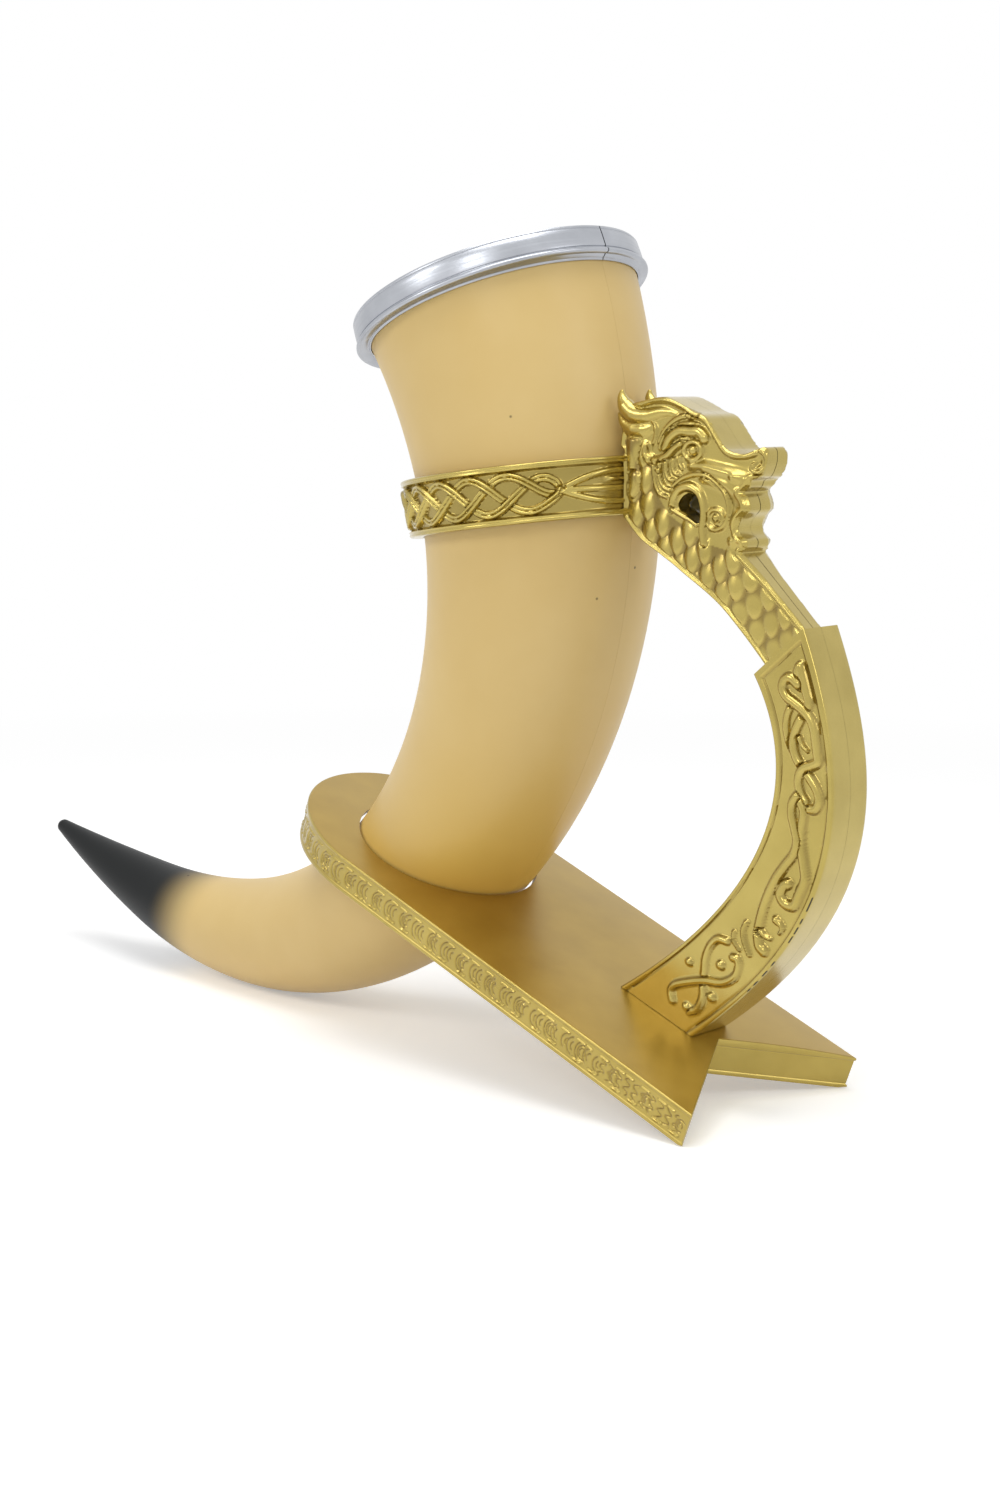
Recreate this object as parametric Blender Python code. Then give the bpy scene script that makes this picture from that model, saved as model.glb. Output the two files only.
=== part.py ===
"""Drinking horn that stands in a dragon-handled stand.

Lengths are in metres, +Z is up and Y = 0 is the plane in which the two halves of each
moulding meet. -Y is the left side. The horn leans in a collar and passes through a hole
in the base plate, and it lifts out of both by turning about the centre of its own bend.
"""
import math

import bmesh
import bpy
from mathutils import Vector

# Gaps between pieces
FIT_GAP = 0.0003
PARTING_GAP = 0.0003
HOLE_CLEARANCE = 0.0010
COLLAR_CLEARANCE = 0.0006

# Horn: its centre line is a chain of arcs, from the mouth down to the tip
MOUTH_RUN_RADIUS = 0.1550
MOUTH_RUN_LENGTH = 0.0440
BEND_RADIUS = 0.1275
BEND_TOP_DEG = 11.0
BEND_BOTTOM_DEG = -86.0
TIP_BEND_RADIUS = 0.1600
TIP_BEND_LENGTH = 0.0503
TIP_RUN_RADIUS = 0.5000
TIP_RUN_LENGTH = 0.0540
# Horn: its radius runs along a cubic curve with these four control radii
MOUTH_RADIUS = 0.0377
UPPER_FULLNESS = 0.0250
LOWER_FULLNESS = 0.0239
TIP_RADIUS = 0.0023
HORN_WALL = 0.0020
SOLID_TIP_LENGTH = 0.0450
MOUTH_BLEND_LENGTH = 0.0500

# Rim
RIM_TILT_DEG = 22.0
RIM_CAP = 0.0012
RIM_HEIGHT = 0.0078
RIM_BAND = 0.0025
RIM_FLARE = 0.0001
RIM_EDGE_ROUND = 0.0007
BEAD_HEIGHT = 0.0030
BEAD_PROUD = 0.0005
RIM_JOINT_GAP = 0.0004

# Collar round the horn
COLLAR_ANGLE_DEG = 5.0
COLLAR_TILT_DEG = 7.5
COLLAR_HEIGHT = 0.0151
COLLAR_WALL = 0.0024
COLLAR_BORDER_PROUD = 0.0012
COLLAR_BORDER_HEIGHT = 0.0017
COLLAR_BORDER_SLOPE = 0.0005
LUG_LENGTH = 0.0070
LUG_HEIGHT = 0.0080
LUG_THICKNESS = 0.0030

# Base plate, in its own frame: origin on top at the notch, +x towards the fishtail
PLATE_TILT_DEG = 20.6
PLATE_HALF_WIDTH = 0.0346
PLATE_STRAIGHT_LENGTH = 0.1110
PLATE_ROUND_LENGTH = 0.0418
TAIL_LENGTH = 0.0211
PLATE_DEPTH = 0.0096
PLATE_TOP_WALL = 0.0020
PLATE_SKIRT_WALL = 0.0020
PLATE_CROWN = 0.0013
CROWN_FLAT_MARGIN = 0.0020
FOOT_FLAT_DEPTH = 0.0006
HORN_FROM_NOTCH = 0.1064

# Arm of the handle
ARM_THICKNESS = 0.0148
ARM_WALL = 0.0016
ARM_FOOT_INNER = 0.0297
ARM_FOOT_OUTER = 0.0037
ARM_FOOT_BLOCK = 0.0100
ARM_INNER_TOP_DEG = -57.8
ARM_INNER_TOP_HANDLE = 0.0434
ARM_INNER_FOOT_DEG = 32.4
ARM_INNER_FOOT_HANDLE = 0.0333
ARM_OUTER_TOP_DEG = -67.4
ARM_OUTER_TOP_HANDLE = 0.0386
ARM_OUTER_FOOT_DEG = 36.3
ARM_OUTER_FOOT_HANDLE = 0.0648
TENON_LENGTH = 0.0090

# Dragon head and neck: outline points from the middle of the collar's outer side
NECK_INNER_END = (0.0446, -0.0442)
NECK_OUTER_END = (0.0565, -0.0342)
NECK_INNER_RUN = ((0.0318, -0.0301), (0.0185, -0.0214), (0.0119, -0.0176), (0.0052, -0.0139))
BACK_FOOT = (-0.0006, -0.0085)
NAPE_FOOT = (-0.0010, 0.0086)
NAPE_RUN = ((-0.0032, 0.0093), (-0.0028, 0.0112), (-0.0015, 0.0147), (-0.0029, 0.0188))
EAR_OUTER = (-0.0033, 0.0218)
EAR_TIP = (-0.0016, 0.0248)
EAR_ROOT = ((0.0008, 0.0226), (0.0028, 0.0209))
SKULL_RUN = ((0.0081, 0.0219), (0.0114, 0.0224), (0.0147, 0.0222), (0.0221, 0.0192), (0.0260, 0.0178))
BROW_RUN = ((0.0282, 0.0156), (0.0324, 0.0105), (0.0349, 0.0091), (0.0377, 0.0086), (0.0408, 0.0097))
SNOUT_RUN = ((0.0426, 0.0104), (0.0438, 0.0095), (0.0439, 0.0071), (0.0433, 0.0051), (0.0421, 0.0031))
LIP_RUN = ((0.0400, 0.0022), (0.0394, 0.0007), (0.0374, -0.0008))
JAW_RUN = ((0.0386, -0.0027), (0.0389, -0.0052), (0.0368, -0.0073), (0.0359, -0.0098))
CHIN_RUN = ((0.0369, -0.0115), (0.0383, -0.0126), (0.0383, -0.0142), (0.0369, -0.0157))
MOUTH_HOLE_CENTRE = (0.0210, -0.0044)
MOUTH_HOLE_RADIUS = 0.0030
HEAD_FACE_WALL = 0.0018
HEAD_CORE = (
    (0.0090, -0.0130), (0.0270, -0.0238), (0.0380, -0.0335), (0.0430, -0.0388), (0.0515, -0.0320),
    (0.0450, -0.0265), (0.0360, -0.0185), (0.0330, -0.0090), (0.0330, 0.0045), (0.0260, 0.0130),
    (0.0180, 0.0180), (0.0080, 0.0180), (0.0040, 0.0110), (0.0040, -0.0060),
)

# Screws that hold the arm's foot down from under the plate
SCREW_RADIUS = 0.0013
SCREW_HEAD_RADIUS = 0.0024
SCREW_HEAD_HEIGHT = 0.0016
SCREW_LENGTH = 0.0090
SCREW_FROM_NOTCH = (0.0205, 0.0095)
SCREW_TIP_LENGTH = 0.0015

# Facets
HORN_STATIONS = 40
HALF_SEGMENTS = 16
RING_SEGMENTS = 64
TIP_DOME_STEPS = 3
PLATE_ROWS = 12
ARM_STATIONS = 22
OUTLINE_STEPS = 2
TENON_STEPS = 3
SCREW_SIDES = 16
SMOOTH_ANGLE_DEG = 35.0

# Sizes that follow from the ones above
HORN_ARCS = (
    (MOUTH_RUN_RADIUS, MOUTH_RUN_LENGTH),
    (BEND_RADIUS, BEND_RADIUS * math.radians(BEND_TOP_DEG - BEND_BOTTOM_DEG)),
    (TIP_BEND_RADIUS, TIP_BEND_LENGTH),
    (TIP_RUN_RADIUS, TIP_RUN_LENGTH),
)
HORN_LENGTH = sum(length for radius, length in HORN_ARCS)
MOUTH_ANGLE = math.radians(BEND_TOP_DEG) + MOUTH_RUN_LENGTH / MOUTH_RUN_RADIUS
RIM_TOP_RADIUS = MOUTH_RADIUS + RIM_BAND
ARM_HALF = ARM_THICKNESS / 2
DRAGON_HALF = ARM_HALF - ARM_WALL - FIT_GAP
PLATE_TILT = math.radians(PLATE_TILT_DEG)
SCREW_SIDE = (ARM_HALF + PARTING_GAP / 2) / 2


def direction(angle):
    """Unit vector in the plane of the bend; angle is counted from +X towards +Z."""
    return Vector((math.cos(angle), math.sin(angle)))


def lift(point, y=0.0):
    """A point of the bend's plane as a point in space."""
    return Vector((point[0], y, point[1]))


def horn_radius(s):
    """Outer radius of the horn at the length s from its mouth."""
    u = s / HORN_LENGTH
    v = 1 - u
    upper = v ** 3 * MOUTH_RADIUS + 3 * v * v * u * UPPER_FULLNESS
    return upper + 3 * v * u * u * LOWER_FULLNESS + u ** 3 * TIP_RADIUS


def horn_point(s):
    """Point on the horn's centre line, from the bend's centre, and the angle of its section."""
    angle = MOUTH_ANGLE
    centre = direction(math.radians(BEND_TOP_DEG)) * (BEND_RADIUS - MOUTH_RUN_RADIUS)
    left = s
    for index, (radius, length) in enumerate(HORN_ARCS):
        step = min(left, length)
        angle -= step / radius
        left -= step
        if left <= 0 or index == len(HORN_ARCS) - 1:
            break
        centre = centre + direction(angle) * (radius - HORN_ARCS[index + 1][0])
    return centre + direction(angle) * radius, angle


def horn_section(s):
    """Centre, tilt and outer radius of the horn's round section at s."""
    centre, angle = horn_point(s)
    ease = max(0.0, 1 - s / MOUTH_BLEND_LENGTH) ** 2
    tilt = angle + (math.radians(RIM_TILT_DEG) - MOUTH_ANGLE) * ease
    return centre, tilt, horn_radius(s)


def length_at_angle(angle):
    """Length from the mouth to the place where the bend has this angle."""
    return MOUTH_RUN_LENGTH + (math.radians(BEND_TOP_DEG) - angle) * BEND_RADIUS


def horn_stations():
    """Lengths from the mouth at which the horn's surface has its sections."""
    return [HORN_LENGTH * step / HORN_STATIONS for step in range(HORN_STATIONS + 1)]


def belly_drop():
    """How far the lowest point of the horn lies below the bend's centre."""
    sections = [horn_section(s) for s in horn_stations()]
    return max(radius * abs(math.sin(tilt)) - centre.y for centre, tilt, radius in sections)


BEND_HEIGHT = belly_drop()
NOTCH_HEIGHT = TAIL_LENGTH * math.sin(PLATE_TILT) + PLATE_DEPTH * math.cos(PLATE_TILT) - FOOT_FLAT_DEPTH


def notch_place():
    """The plate's notch from the bend's centre in X, and from the ground in Z."""
    crossing = NOTCH_HEIGHT + HORN_FROM_NOTCH * math.sin(PLATE_TILT) + PLATE_CROWN * math.cos(PLATE_TILT)
    reach = math.sqrt(BEND_RADIUS ** 2 - (crossing - BEND_HEIGHT) ** 2)
    x = reach + HORN_FROM_NOTCH * math.cos(PLATE_TILT) - PLATE_CROWN * math.sin(PLATE_TILT)
    return Vector((x, NOTCH_HEIGHT))


NOTCH = notch_place()


def from_plate(x, z):
    """A point of the plate's own frame in the plane of the bend, above the ground."""
    along = Vector((math.cos(PLATE_TILT), -math.sin(PLATE_TILT)))
    up = Vector((math.sin(PLATE_TILT), math.cos(PLATE_TILT)))
    return NOTCH + along * x + up * z


COLLAR_S = length_at_angle(math.radians(COLLAR_ANGLE_DEG))
COLLAR_TILT = math.radians(COLLAR_TILT_DEG)
COLLAR_OUT = direction(COLLAR_TILT)
COLLAR_AXIS = direction(COLLAR_TILT + math.pi / 2)
COLLAR_CENTRE = horn_point(COLLAR_S)[0] + Vector((0, BEND_HEIGHT))
COLLAR_BACK = COLLAR_CENTRE + COLLAR_OUT * (horn_radius(COLLAR_S) + COLLAR_CLEARANCE + COLLAR_WALL)


def from_collar(point):
    """An outline point of the dragon in the plane of the bend, above the ground."""
    return COLLAR_BACK + Vector(point)


def curve_through(points, steps):
    """Smooth run of points through the given ones, ends included."""
    run = [Vector(p) for p in points]
    ends = [2 * run[0] - run[1]] + run + [2 * run[-1] - run[-2]]
    result = []
    for a, b, c, d in zip(ends, ends[1:], ends[2:], ends[3:]):
        for step in range(steps):
            t = step / steps
            bend = (2 * a - 5 * b + 4 * c - d) * t * t + (3 * (b - c) + d - a) * t ** 3
            result.append(b + ((c - a) * t + bend) / 2)
    return result + [run[-1]]


def bezier(start, start_handle, end_handle, end, t):
    """Point of a cubic curve with two handles."""
    u = 1 - t
    return start * u ** 3 + start_handle * (3 * u * u * t) + end_handle * (3 * u * t * t) + end * t ** 3


SHOULDER_LINE = (from_collar(NECK_OUTER_END) - from_collar(NECK_INNER_END)).normalized()
SHOULDER_INNER = from_collar(NECK_INNER_END) - SHOULDER_LINE * (ARM_WALL + FIT_GAP)
SHOULDER_OUTER = from_collar(NECK_OUTER_END) + SHOULDER_LINE * (ARM_WALL + FIT_GAP)
FOOT_INNER = from_plate(-ARM_FOOT_INNER, PLATE_CROWN + FIT_GAP)
FOOT_OUTER = from_plate(-ARM_FOOT_OUTER, PLATE_CROWN + FIT_GAP)


def arm_edge(t, inner):
    """Point of the arm's inner or outer edge, from the shoulder (0) to the foot (1)."""
    if inner:
        start, end = SHOULDER_INNER, FOOT_INNER
        first = direction(math.radians(ARM_INNER_TOP_DEG)) * ARM_INNER_TOP_HANDLE
        last = direction(math.radians(ARM_INNER_FOOT_DEG)) * ARM_INNER_FOOT_HANDLE
    else:
        start, end = SHOULDER_OUTER, FOOT_OUTER
        first = direction(math.radians(ARM_OUTER_TOP_DEG)) * ARM_OUTER_TOP_HANDLE
        last = direction(math.radians(ARM_OUTER_FOOT_DEG)) * ARM_OUTER_FOOT_HANDLE
    return bezier(start, start + first, end + last, end, t)


def arm_wall_point(t, inner, wall):
    """Point at a wall's thickness inside the arm's edge, along the line across the arm."""
    edge = arm_edge(t, inner)
    across = (arm_edge(t, not inner) - edge).normalized()
    return edge + across * wall


def reach_in_x():
    """Furthest points of the whole object along X, from the bend's centre."""
    tip, tip_angle = horn_point(HORN_LENGTH)
    low = tip.x + math.sin(tip_angle) * TIP_RADIUS - TIP_RADIUS * abs(math.cos(tip_angle))
    steps = [step / ARM_STATIONS for step in range(ARM_STATIONS + 1)]
    return low, max(arm_edge(t, False).x for t in steps)


ORIGIN_X = -sum(reach_in_x()) / 2


def make_material(name, colour, roughness, metallic):
    """Principled material of one colour."""
    material = bpy.data.materials.new(name)
    material.use_nodes = True
    shader = material.node_tree.nodes["Principled BSDF"]
    shader.inputs["Base Color"].default_value = (*colour, 1)
    shader.inputs["Roughness"].default_value = roughness
    shader.inputs["Metallic"].default_value = metallic
    return material


def make_empty(name, location, parent=None):
    """Empty that carries the pieces which move together."""
    empty = bpy.data.objects.new(name, None)
    empty.location = location
    empty.parent = parent
    bpy.context.collection.objects.link(empty)
    return empty


def make_piece(name, shape, parent, material=None):
    """Object of a finished bmesh, with its faces pointing out. A cutter has no material."""
    bmesh.ops.recalc_face_normals(shape, faces=shape.faces)
    mesh = bpy.data.meshes.new(name)
    shape.to_mesh(mesh)
    shape.free()
    mesh.shade_smooth()
    mesh.set_sharp_from_angle(angle=math.radians(SMOOTH_ANGLE_DEG))
    piece = bpy.data.objects.new(name, mesh)
    piece.parent = parent
    bpy.context.collection.objects.link(piece)
    if material:
        mesh.materials.append(material)
    else:
        piece.hide_render = True
        piece.display_type = "WIRE"
    return piece


def add_boolean(piece, operation, other):
    """Live Boolean on a piece."""
    modifier = piece.modifiers.new(other.name, "BOOLEAN")
    modifier.operation = operation
    modifier.object = other
    modifier.solver = "EXACT"


def add_rows(shape, rows):
    """Rows of vertices."""
    return [[shape.verts.new(point) for point in row] for row in rows]


def join_rows(shape, rows, closed):
    """Faces between each row and the next. A closed row also joins its last vertex to its first."""
    count = len(rows[0])
    for upper, lower in zip(rows, rows[1:]):
        for a in range(count if closed else count - 1):
            b = (a + 1) % count
            shape.faces.new((upper[a], upper[b], lower[b], lower[a]))


def prism(outline, low, high):
    """Solid between y = low and y = high with an outline in the plane of the bend."""
    shape = bmesh.new()
    rows = add_rows(shape, [[lift(p, y) for p in outline] for y in (low, high)])
    join_rows(shape, rows, closed=True)
    for row in rows:
        shape.faces.new(row)
    return shape


def turned(profile, sides):
    """Solid turned about +Z from (radius, height) points, closed at both ends."""
    shape = bmesh.new()
    turns = [2 * math.pi * side / sides for side in range(sides)]
    rings = [[(r * math.cos(a), r * math.sin(a), z) for a in turns] for r, z in profile]
    rows = add_rows(shape, rings)
    join_rows(shape, rows, closed=True)
    shape.faces.new(rows[0])
    shape.faces.new(rows[-1])
    return shape


def round_point(centre, tilt, radius, turn):
    """Point of a circle round the horn; turn 0 is on the outside of the bend."""
    return lift(centre + direction(tilt) * (radius * math.cos(turn)), radius * math.sin(turn))


def half_ring(centre, tilt, radius, side):
    """Half circle on one side of the parting plane."""
    points = []
    for step in range(HALF_SEGMENTS + 1):
        point = round_point(centre, tilt, radius, math.pi * step / HALF_SEGMENTS)
        point.y = side * max(point.y, PARTING_GAP / 2)
        points.append(point)
    return points


def tip_dome():
    """Sections that round off the tip."""
    centre, angle = horn_point(HORN_LENGTH)
    ahead = direction(angle - math.pi / 2)
    for step in range(1, TIP_DOME_STEPS + 1):
        turn = step / (TIP_DOME_STEPS + 0.5) * math.pi / 2
        yield centre + ahead * (TIP_RADIUS * math.sin(turn)), angle, TIP_RADIUS * math.cos(turn)


def build_horn_half(name, side, pivot, material):
    """Half shell of the horn: hollow from the mouth, solid at the tip."""
    stations = horn_stations()
    outer_sections = [horn_section(s) for s in stations] + list(tip_dome())
    hollow = [s for s in stations if s <= HORN_LENGTH - SOLID_TIP_LENGTH]
    inner_sections = [(c, tilt, r - HORN_WALL) for c, tilt, r in map(horn_section, hollow)]
    shape = bmesh.new()
    outer = add_rows(shape, [half_ring(*section, side) for section in outer_sections])
    inner = add_rows(shape, [half_ring(*section, side) for section in inner_sections])
    join_rows(shape, outer, closed=False)
    join_rows(shape, inner, closed=False)
    join_rows(shape, [outer[0], inner[0]], closed=False)
    floor = len(inner) - 1
    for end in (0, -1):
        for row in range(floor):
            shape.faces.new((outer[row][end], outer[row + 1][end], inner[row + 1][end], inner[row][end]))
    first, after = outer[floor], outer[floor + 1]
    shape.faces.new((first[0], inner[floor][0], inner[floor][-1], first[-1], after[-1], after[0]))
    for upper, lower in zip(outer[floor + 1:], outer[floor + 2:]):
        shape.faces.new((upper[0], upper[-1], lower[-1], lower[0]))
    shape.faces.new(inner[floor])
    shape.faces.new(outer[-1])
    return make_piece(name, shape, pivot, material)


def rim_circles():
    """Circles of the rim's section, from the inside of its cap, over the top and down to its bead."""
    lip_centre, tilt, lip_radius = horn_section(0)
    axis = direction(tilt + math.pi / 2)
    top = lip_centre + axis * (FIT_GAP + RIM_CAP)
    bore = lip_radius - HORN_WALL
    bead_top = RIM_HEIGHT - BEAD_HEIGHT
    wide = RIM_TOP_RADIUS + RIM_FLARE
    outline = [
        (bore, RIM_CAP), (bore, 0), (RIM_TOP_RADIUS - RIM_EDGE_ROUND, 0), (RIM_TOP_RADIUS, RIM_EDGE_ROUND),
        (wide, bead_top), (wide + BEAD_PROUD * 0.8, bead_top + BEAD_HEIGHT * 0.2),
        (wide + BEAD_PROUD, bead_top + BEAD_HEIGHT / 2),
        (wide + BEAD_PROUD * 0.8, RIM_HEIGHT - BEAD_HEIGHT * 0.2), (wide, RIM_HEIGHT),
    ]
    circles = [(top - axis * depth, tilt, radius) for radius, depth in outline]
    skirt = horn_section(RIM_HEIGHT - RIM_CAP - FIT_GAP)
    for centre, section_tilt, radius in (skirt, horn_section(0)):
        circles.append((centre, section_tilt, radius + FIT_GAP))
    circles[-1] = (top - axis * RIM_CAP, tilt, circles[-1][2])
    return circles


def build_rim(pivot, material):
    """Silver rim over the horn's lip: a ring with one butt joint on the handle's side."""
    circles = rim_circles()
    half_joint = RIM_JOINT_GAP / 2 / RIM_TOP_RADIUS
    span = 2 * math.pi - 2 * half_joint
    turns = [half_joint + span * step / RING_SEGMENTS for step in range(RING_SEGMENTS + 1)]
    shape = bmesh.new()
    rows = add_rows(shape, [[round_point(*circle, turn) for circle in circles] for turn in turns])
    join_rows(shape, rows, closed=True)
    shape.faces.new(rows[0])
    shape.faces.new(rows[-1])
    return make_piece("rim_ring", shape, pivot, material)


def collar_circle(height, radius):
    """Circle of the collar at a height along its axis."""
    return COLLAR_CENTRE + COLLAR_AXIS * height, COLLAR_TILT, radius


def collar_skin(height, proud):
    """Circle at some thickness off the horn at a height along the collar's axis."""
    return collar_circle(height, horn_radius(COLLAR_S - height) + COLLAR_CLEARANCE + proud)


def collar_outside(spare):
    """Circles of the collar's outer side, top to bottom, with spare room round them."""
    half = COLLAR_HEIGHT / 2
    crest = COLLAR_WALL + COLLAR_BORDER_PROUD + spare
    border = COLLAR_BORDER_HEIGHT + spare
    slope = border + COLLAR_BORDER_SLOPE
    outer = [(half + spare, crest), (half - border, crest), (half - slope, COLLAR_WALL + spare)]
    mirrored = [(-height, proud) for height, proud in reversed(outer)]
    return [collar_skin(height, proud) for height, proud in outer + mirrored]


def build_collar(frame, material):
    """Collar that the horn leans in, with a lug that the dragon's halves close on."""
    half = COLLAR_HEIGHT / 2
    bore = [collar_skin(height, 0) for height in (-half, 0, half)]
    circles = collar_outside(0) + bore
    turns = [2 * math.pi * step / RING_SEGMENTS for step in range(RING_SEGMENTS)]
    shape = bmesh.new()
    rows = add_rows(shape, [[round_point(*circle, turn) for turn in turns] for circle in circles])
    join_rows(shape, rows + rows[:1], closed=True)
    collar = make_piece("horn_collar", shape, frame, material)
    add_boolean(collar, "UNION", make_piece("collar_lug_block", lug_block(0), frame))
    return collar


def lug_block(spare):
    """Block of the lug behind the collar, rooted in the collar's wall, with spare room round it."""
    root = COLLAR_BACK - COLLAR_OUT * (COLLAR_WALL / 2)
    end = COLLAR_BACK + COLLAR_OUT * (LUG_LENGTH + spare)
    rise = COLLAR_AXIS * (LUG_HEIGHT / 2 + spare)
    half = LUG_THICKNESS / 2 + spare
    return prism((root - rise, end - rise, end + rise, root + rise), -half, half)


def collar_seat():
    """Cutter with the collar's outer shape and a fit gap: the saddle in the dragon's back."""
    turns = [2 * math.pi * step / RING_SEGMENTS for step in range(RING_SEGMENTS)]
    shape = bmesh.new()
    circles = collar_outside(FIT_GAP)
    rows = add_rows(shape, [[round_point(*circle, turn) for turn in turns] for circle in circles])
    join_rows(shape, rows, closed=True)
    shape.faces.new(rows[0])
    shape.faces.new(rows[-1])
    return shape


def tenon_outline():
    """Edges of the neck's end inside the arm, from the inner edge round to the outer edge."""
    depth = TENON_LENGTH / (SHOULDER_INNER - FOOT_INNER).length
    room = ARM_WALL + FIT_GAP
    ts = [depth * step / TENON_STEPS for step in range(1, TENON_STEPS + 1)]
    inner = [arm_wall_point(t, True, room) for t in ts]
    return inner + [arm_wall_point(t, False, room) for t in reversed(ts)]


def dragon_outline():
    """Outline of the head and neck, counted from the back's foot along the neck and over the head."""
    placed = lambda points: [from_collar(p) for p in points]
    neck = curve_through(placed((NECK_INNER_END, *NECK_INNER_RUN, BACK_FOOT)), OUTLINE_STEPS)
    nape = curve_through(placed((NAPE_FOOT, *NAPE_RUN, EAR_OUTER, EAR_TIP)), OUTLINE_STEPS)
    above = (EAR_TIP, *EAR_ROOT, *SKULL_RUN, *BROW_RUN, *SNOUT_RUN, *LIP_RUN)
    skull = curve_through(placed(above), OUTLINE_STEPS)
    jaw = curve_through(placed((LIP_RUN[-1], *JAW_RUN, *CHIN_RUN)), OUTLINE_STEPS)
    end = [from_collar(NECK_OUTER_END)]
    return neck + nape + skull[1:] + jaw[1:] + end + list(reversed(tenon_outline()))


def build_dragon_half(name, side, frame, material, cutters):
    """Half of the dragon's head and neck, open inside, with its tenon for the arm."""
    low, high = sorted((side * PARTING_GAP / 2, side * DRAGON_HALF))
    half = make_piece(name, prism(dragon_outline(), low, high), frame, material)
    for cutter in cutters:
        add_boolean(half, "DIFFERENCE", cutter)
    return half


def build_dragon(frame, materials):
    """Both halves of the dragon and what is cut from them."""
    core_half = DRAGON_HALF - HEAD_FACE_WALL
    core = [from_collar(p) for p in HEAD_CORE]
    turns = [2 * math.pi * step / SCREW_SIDES for step in range(SCREW_SIDES)]
    mouth = [from_collar(MOUTH_HOLE_CENTRE) + direction(turn) * MOUTH_HOLE_RADIUS for turn in turns]
    cutters = [
        make_piece("collar_seat_cut", collar_seat(), frame),
        make_piece("lug_slot_cut", lug_block(FIT_GAP), frame),
        make_piece("head_core_cut", prism(core, -core_half, core_half), frame),
        make_piece("mouth_cut", prism(mouth, -ARM_THICKNESS, ARM_THICKNESS), frame),
    ]
    build_dragon_half("dragon_left_half", -1, frame, materials[0], cutters)
    build_dragon_half("dragon_right_half", 1, frame, materials[1], cutters)


def foot_holes(name, parent):
    """Cutter with the screws' holes, square to the plate."""
    shape = bmesh.new()
    radius = SCREW_RADIUS + FIT_GAP
    depth = SCREW_LENGTH + FIT_GAP
    low = PLATE_CROWN - PLATE_TOP_WALL - FIT_GAP
    for x, y in screw_places():
        hole = turned([(radius, low), (radius, low + depth)], SCREW_SIDES)
        bmesh.ops.translate(hole, verts=hole.verts, vec=(x, y, 0))
        mesh = bpy.data.meshes.new(name)
        hole.to_mesh(mesh)
        hole.free()
        shape.from_mesh(mesh)
        bpy.data.meshes.remove(mesh)
    return make_piece(name, shape, parent)


def screw_places():
    """Screws in the plate's frame: two in each half of the arm's foot."""
    return [(-x, side * SCREW_SIDE) for side in (-1, 1) for x in SCREW_FROM_NOTCH]


def build_screws(plate, material):
    """Pan-head screws, driven up from under the plate."""
    top = PLATE_CROWN - PLATE_TOP_WALL - FIT_GAP
    profile = [
        (SCREW_HEAD_RADIUS * 0.8, -SCREW_HEAD_HEIGHT), (SCREW_HEAD_RADIUS, -SCREW_HEAD_HEIGHT / 2),
        (SCREW_HEAD_RADIUS, 0), (SCREW_RADIUS, 0), (SCREW_RADIUS, SCREW_LENGTH - SCREW_TIP_LENGTH),
        (SCREW_RADIUS / 3, SCREW_LENGTH - FIT_GAP),
    ]
    for number, (x, y) in enumerate(screw_places(), start=1):
        screw = make_piece(f"foot_screw_{number}", turned(profile, SCREW_SIDES), plate, material)
        screw.location = (x, y, top)


def build_arm_half(name, side, frame, material, holes):
    """Half of the arm: a channel that is open to the neck, with a solid foot for the screws."""
    low, high = side * ARM_HALF, side * PARTING_GAP / 2
    floor = side * (ARM_HALF - ARM_WALL)
    block = 1 - ARM_FOOT_BLOCK / (SHOULDER_INNER - FOOT_INNER).length
    ts = [block * step / ARM_STATIONS for step in range(ARM_STATIONS + 1)]
    shape = bmesh.new()
    rows = []
    for t in ts:
        edges = [arm_edge(t, True), arm_edge(t, False)]
        walls = [arm_wall_point(t, True, ARM_WALL), arm_wall_point(t, False, ARM_WALL)]
        section = [
            lift(edges[0], low), lift(edges[0], high), lift(walls[0], high), lift(walls[0], floor),
            lift(walls[1], floor), lift(walls[1], high), lift(edges[1], high), lift(edges[1], low),
        ]
        rows.append([shape.verts.new(point) for point in section])
    join_rows(shape, rows, closed=True)
    shape.faces.new(rows[0])
    last = rows[-1]
    shape.faces.new((last[2], last[3], last[4], last[5]))
    foot = [(FOOT_INNER, low), (FOOT_INNER, high), (FOOT_OUTER, high), (FOOT_OUTER, low)]
    inner_low, inner_high, outer_high, outer_low = [shape.verts.new(lift(p, y)) for p, y in foot]
    shape.faces.new((last[0], last[1], inner_high, inner_low))
    shape.faces.new((last[1], last[2], last[5], last[6], outer_high, inner_high))
    shape.faces.new((last[6], last[7], outer_low, outer_high))
    shape.faces.new((last[7], last[0], inner_low, outer_low))
    shape.faces.new((inner_low, inner_high, outer_high, outer_low))
    half = make_piece(name, shape, frame, material)
    add_boolean(half, "DIFFERENCE", holes)
    return half


def crown(y):
    """Height of the plate's domed top over its edges; it is flat under the arm."""
    flat = ARM_HALF + CROWN_FLAT_MARGIN
    fall = max(0.0, abs(y) - flat) / (PLATE_HALF_WIDTH - flat)
    return PLATE_CROWN * (1 - fall ** 2)


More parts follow.
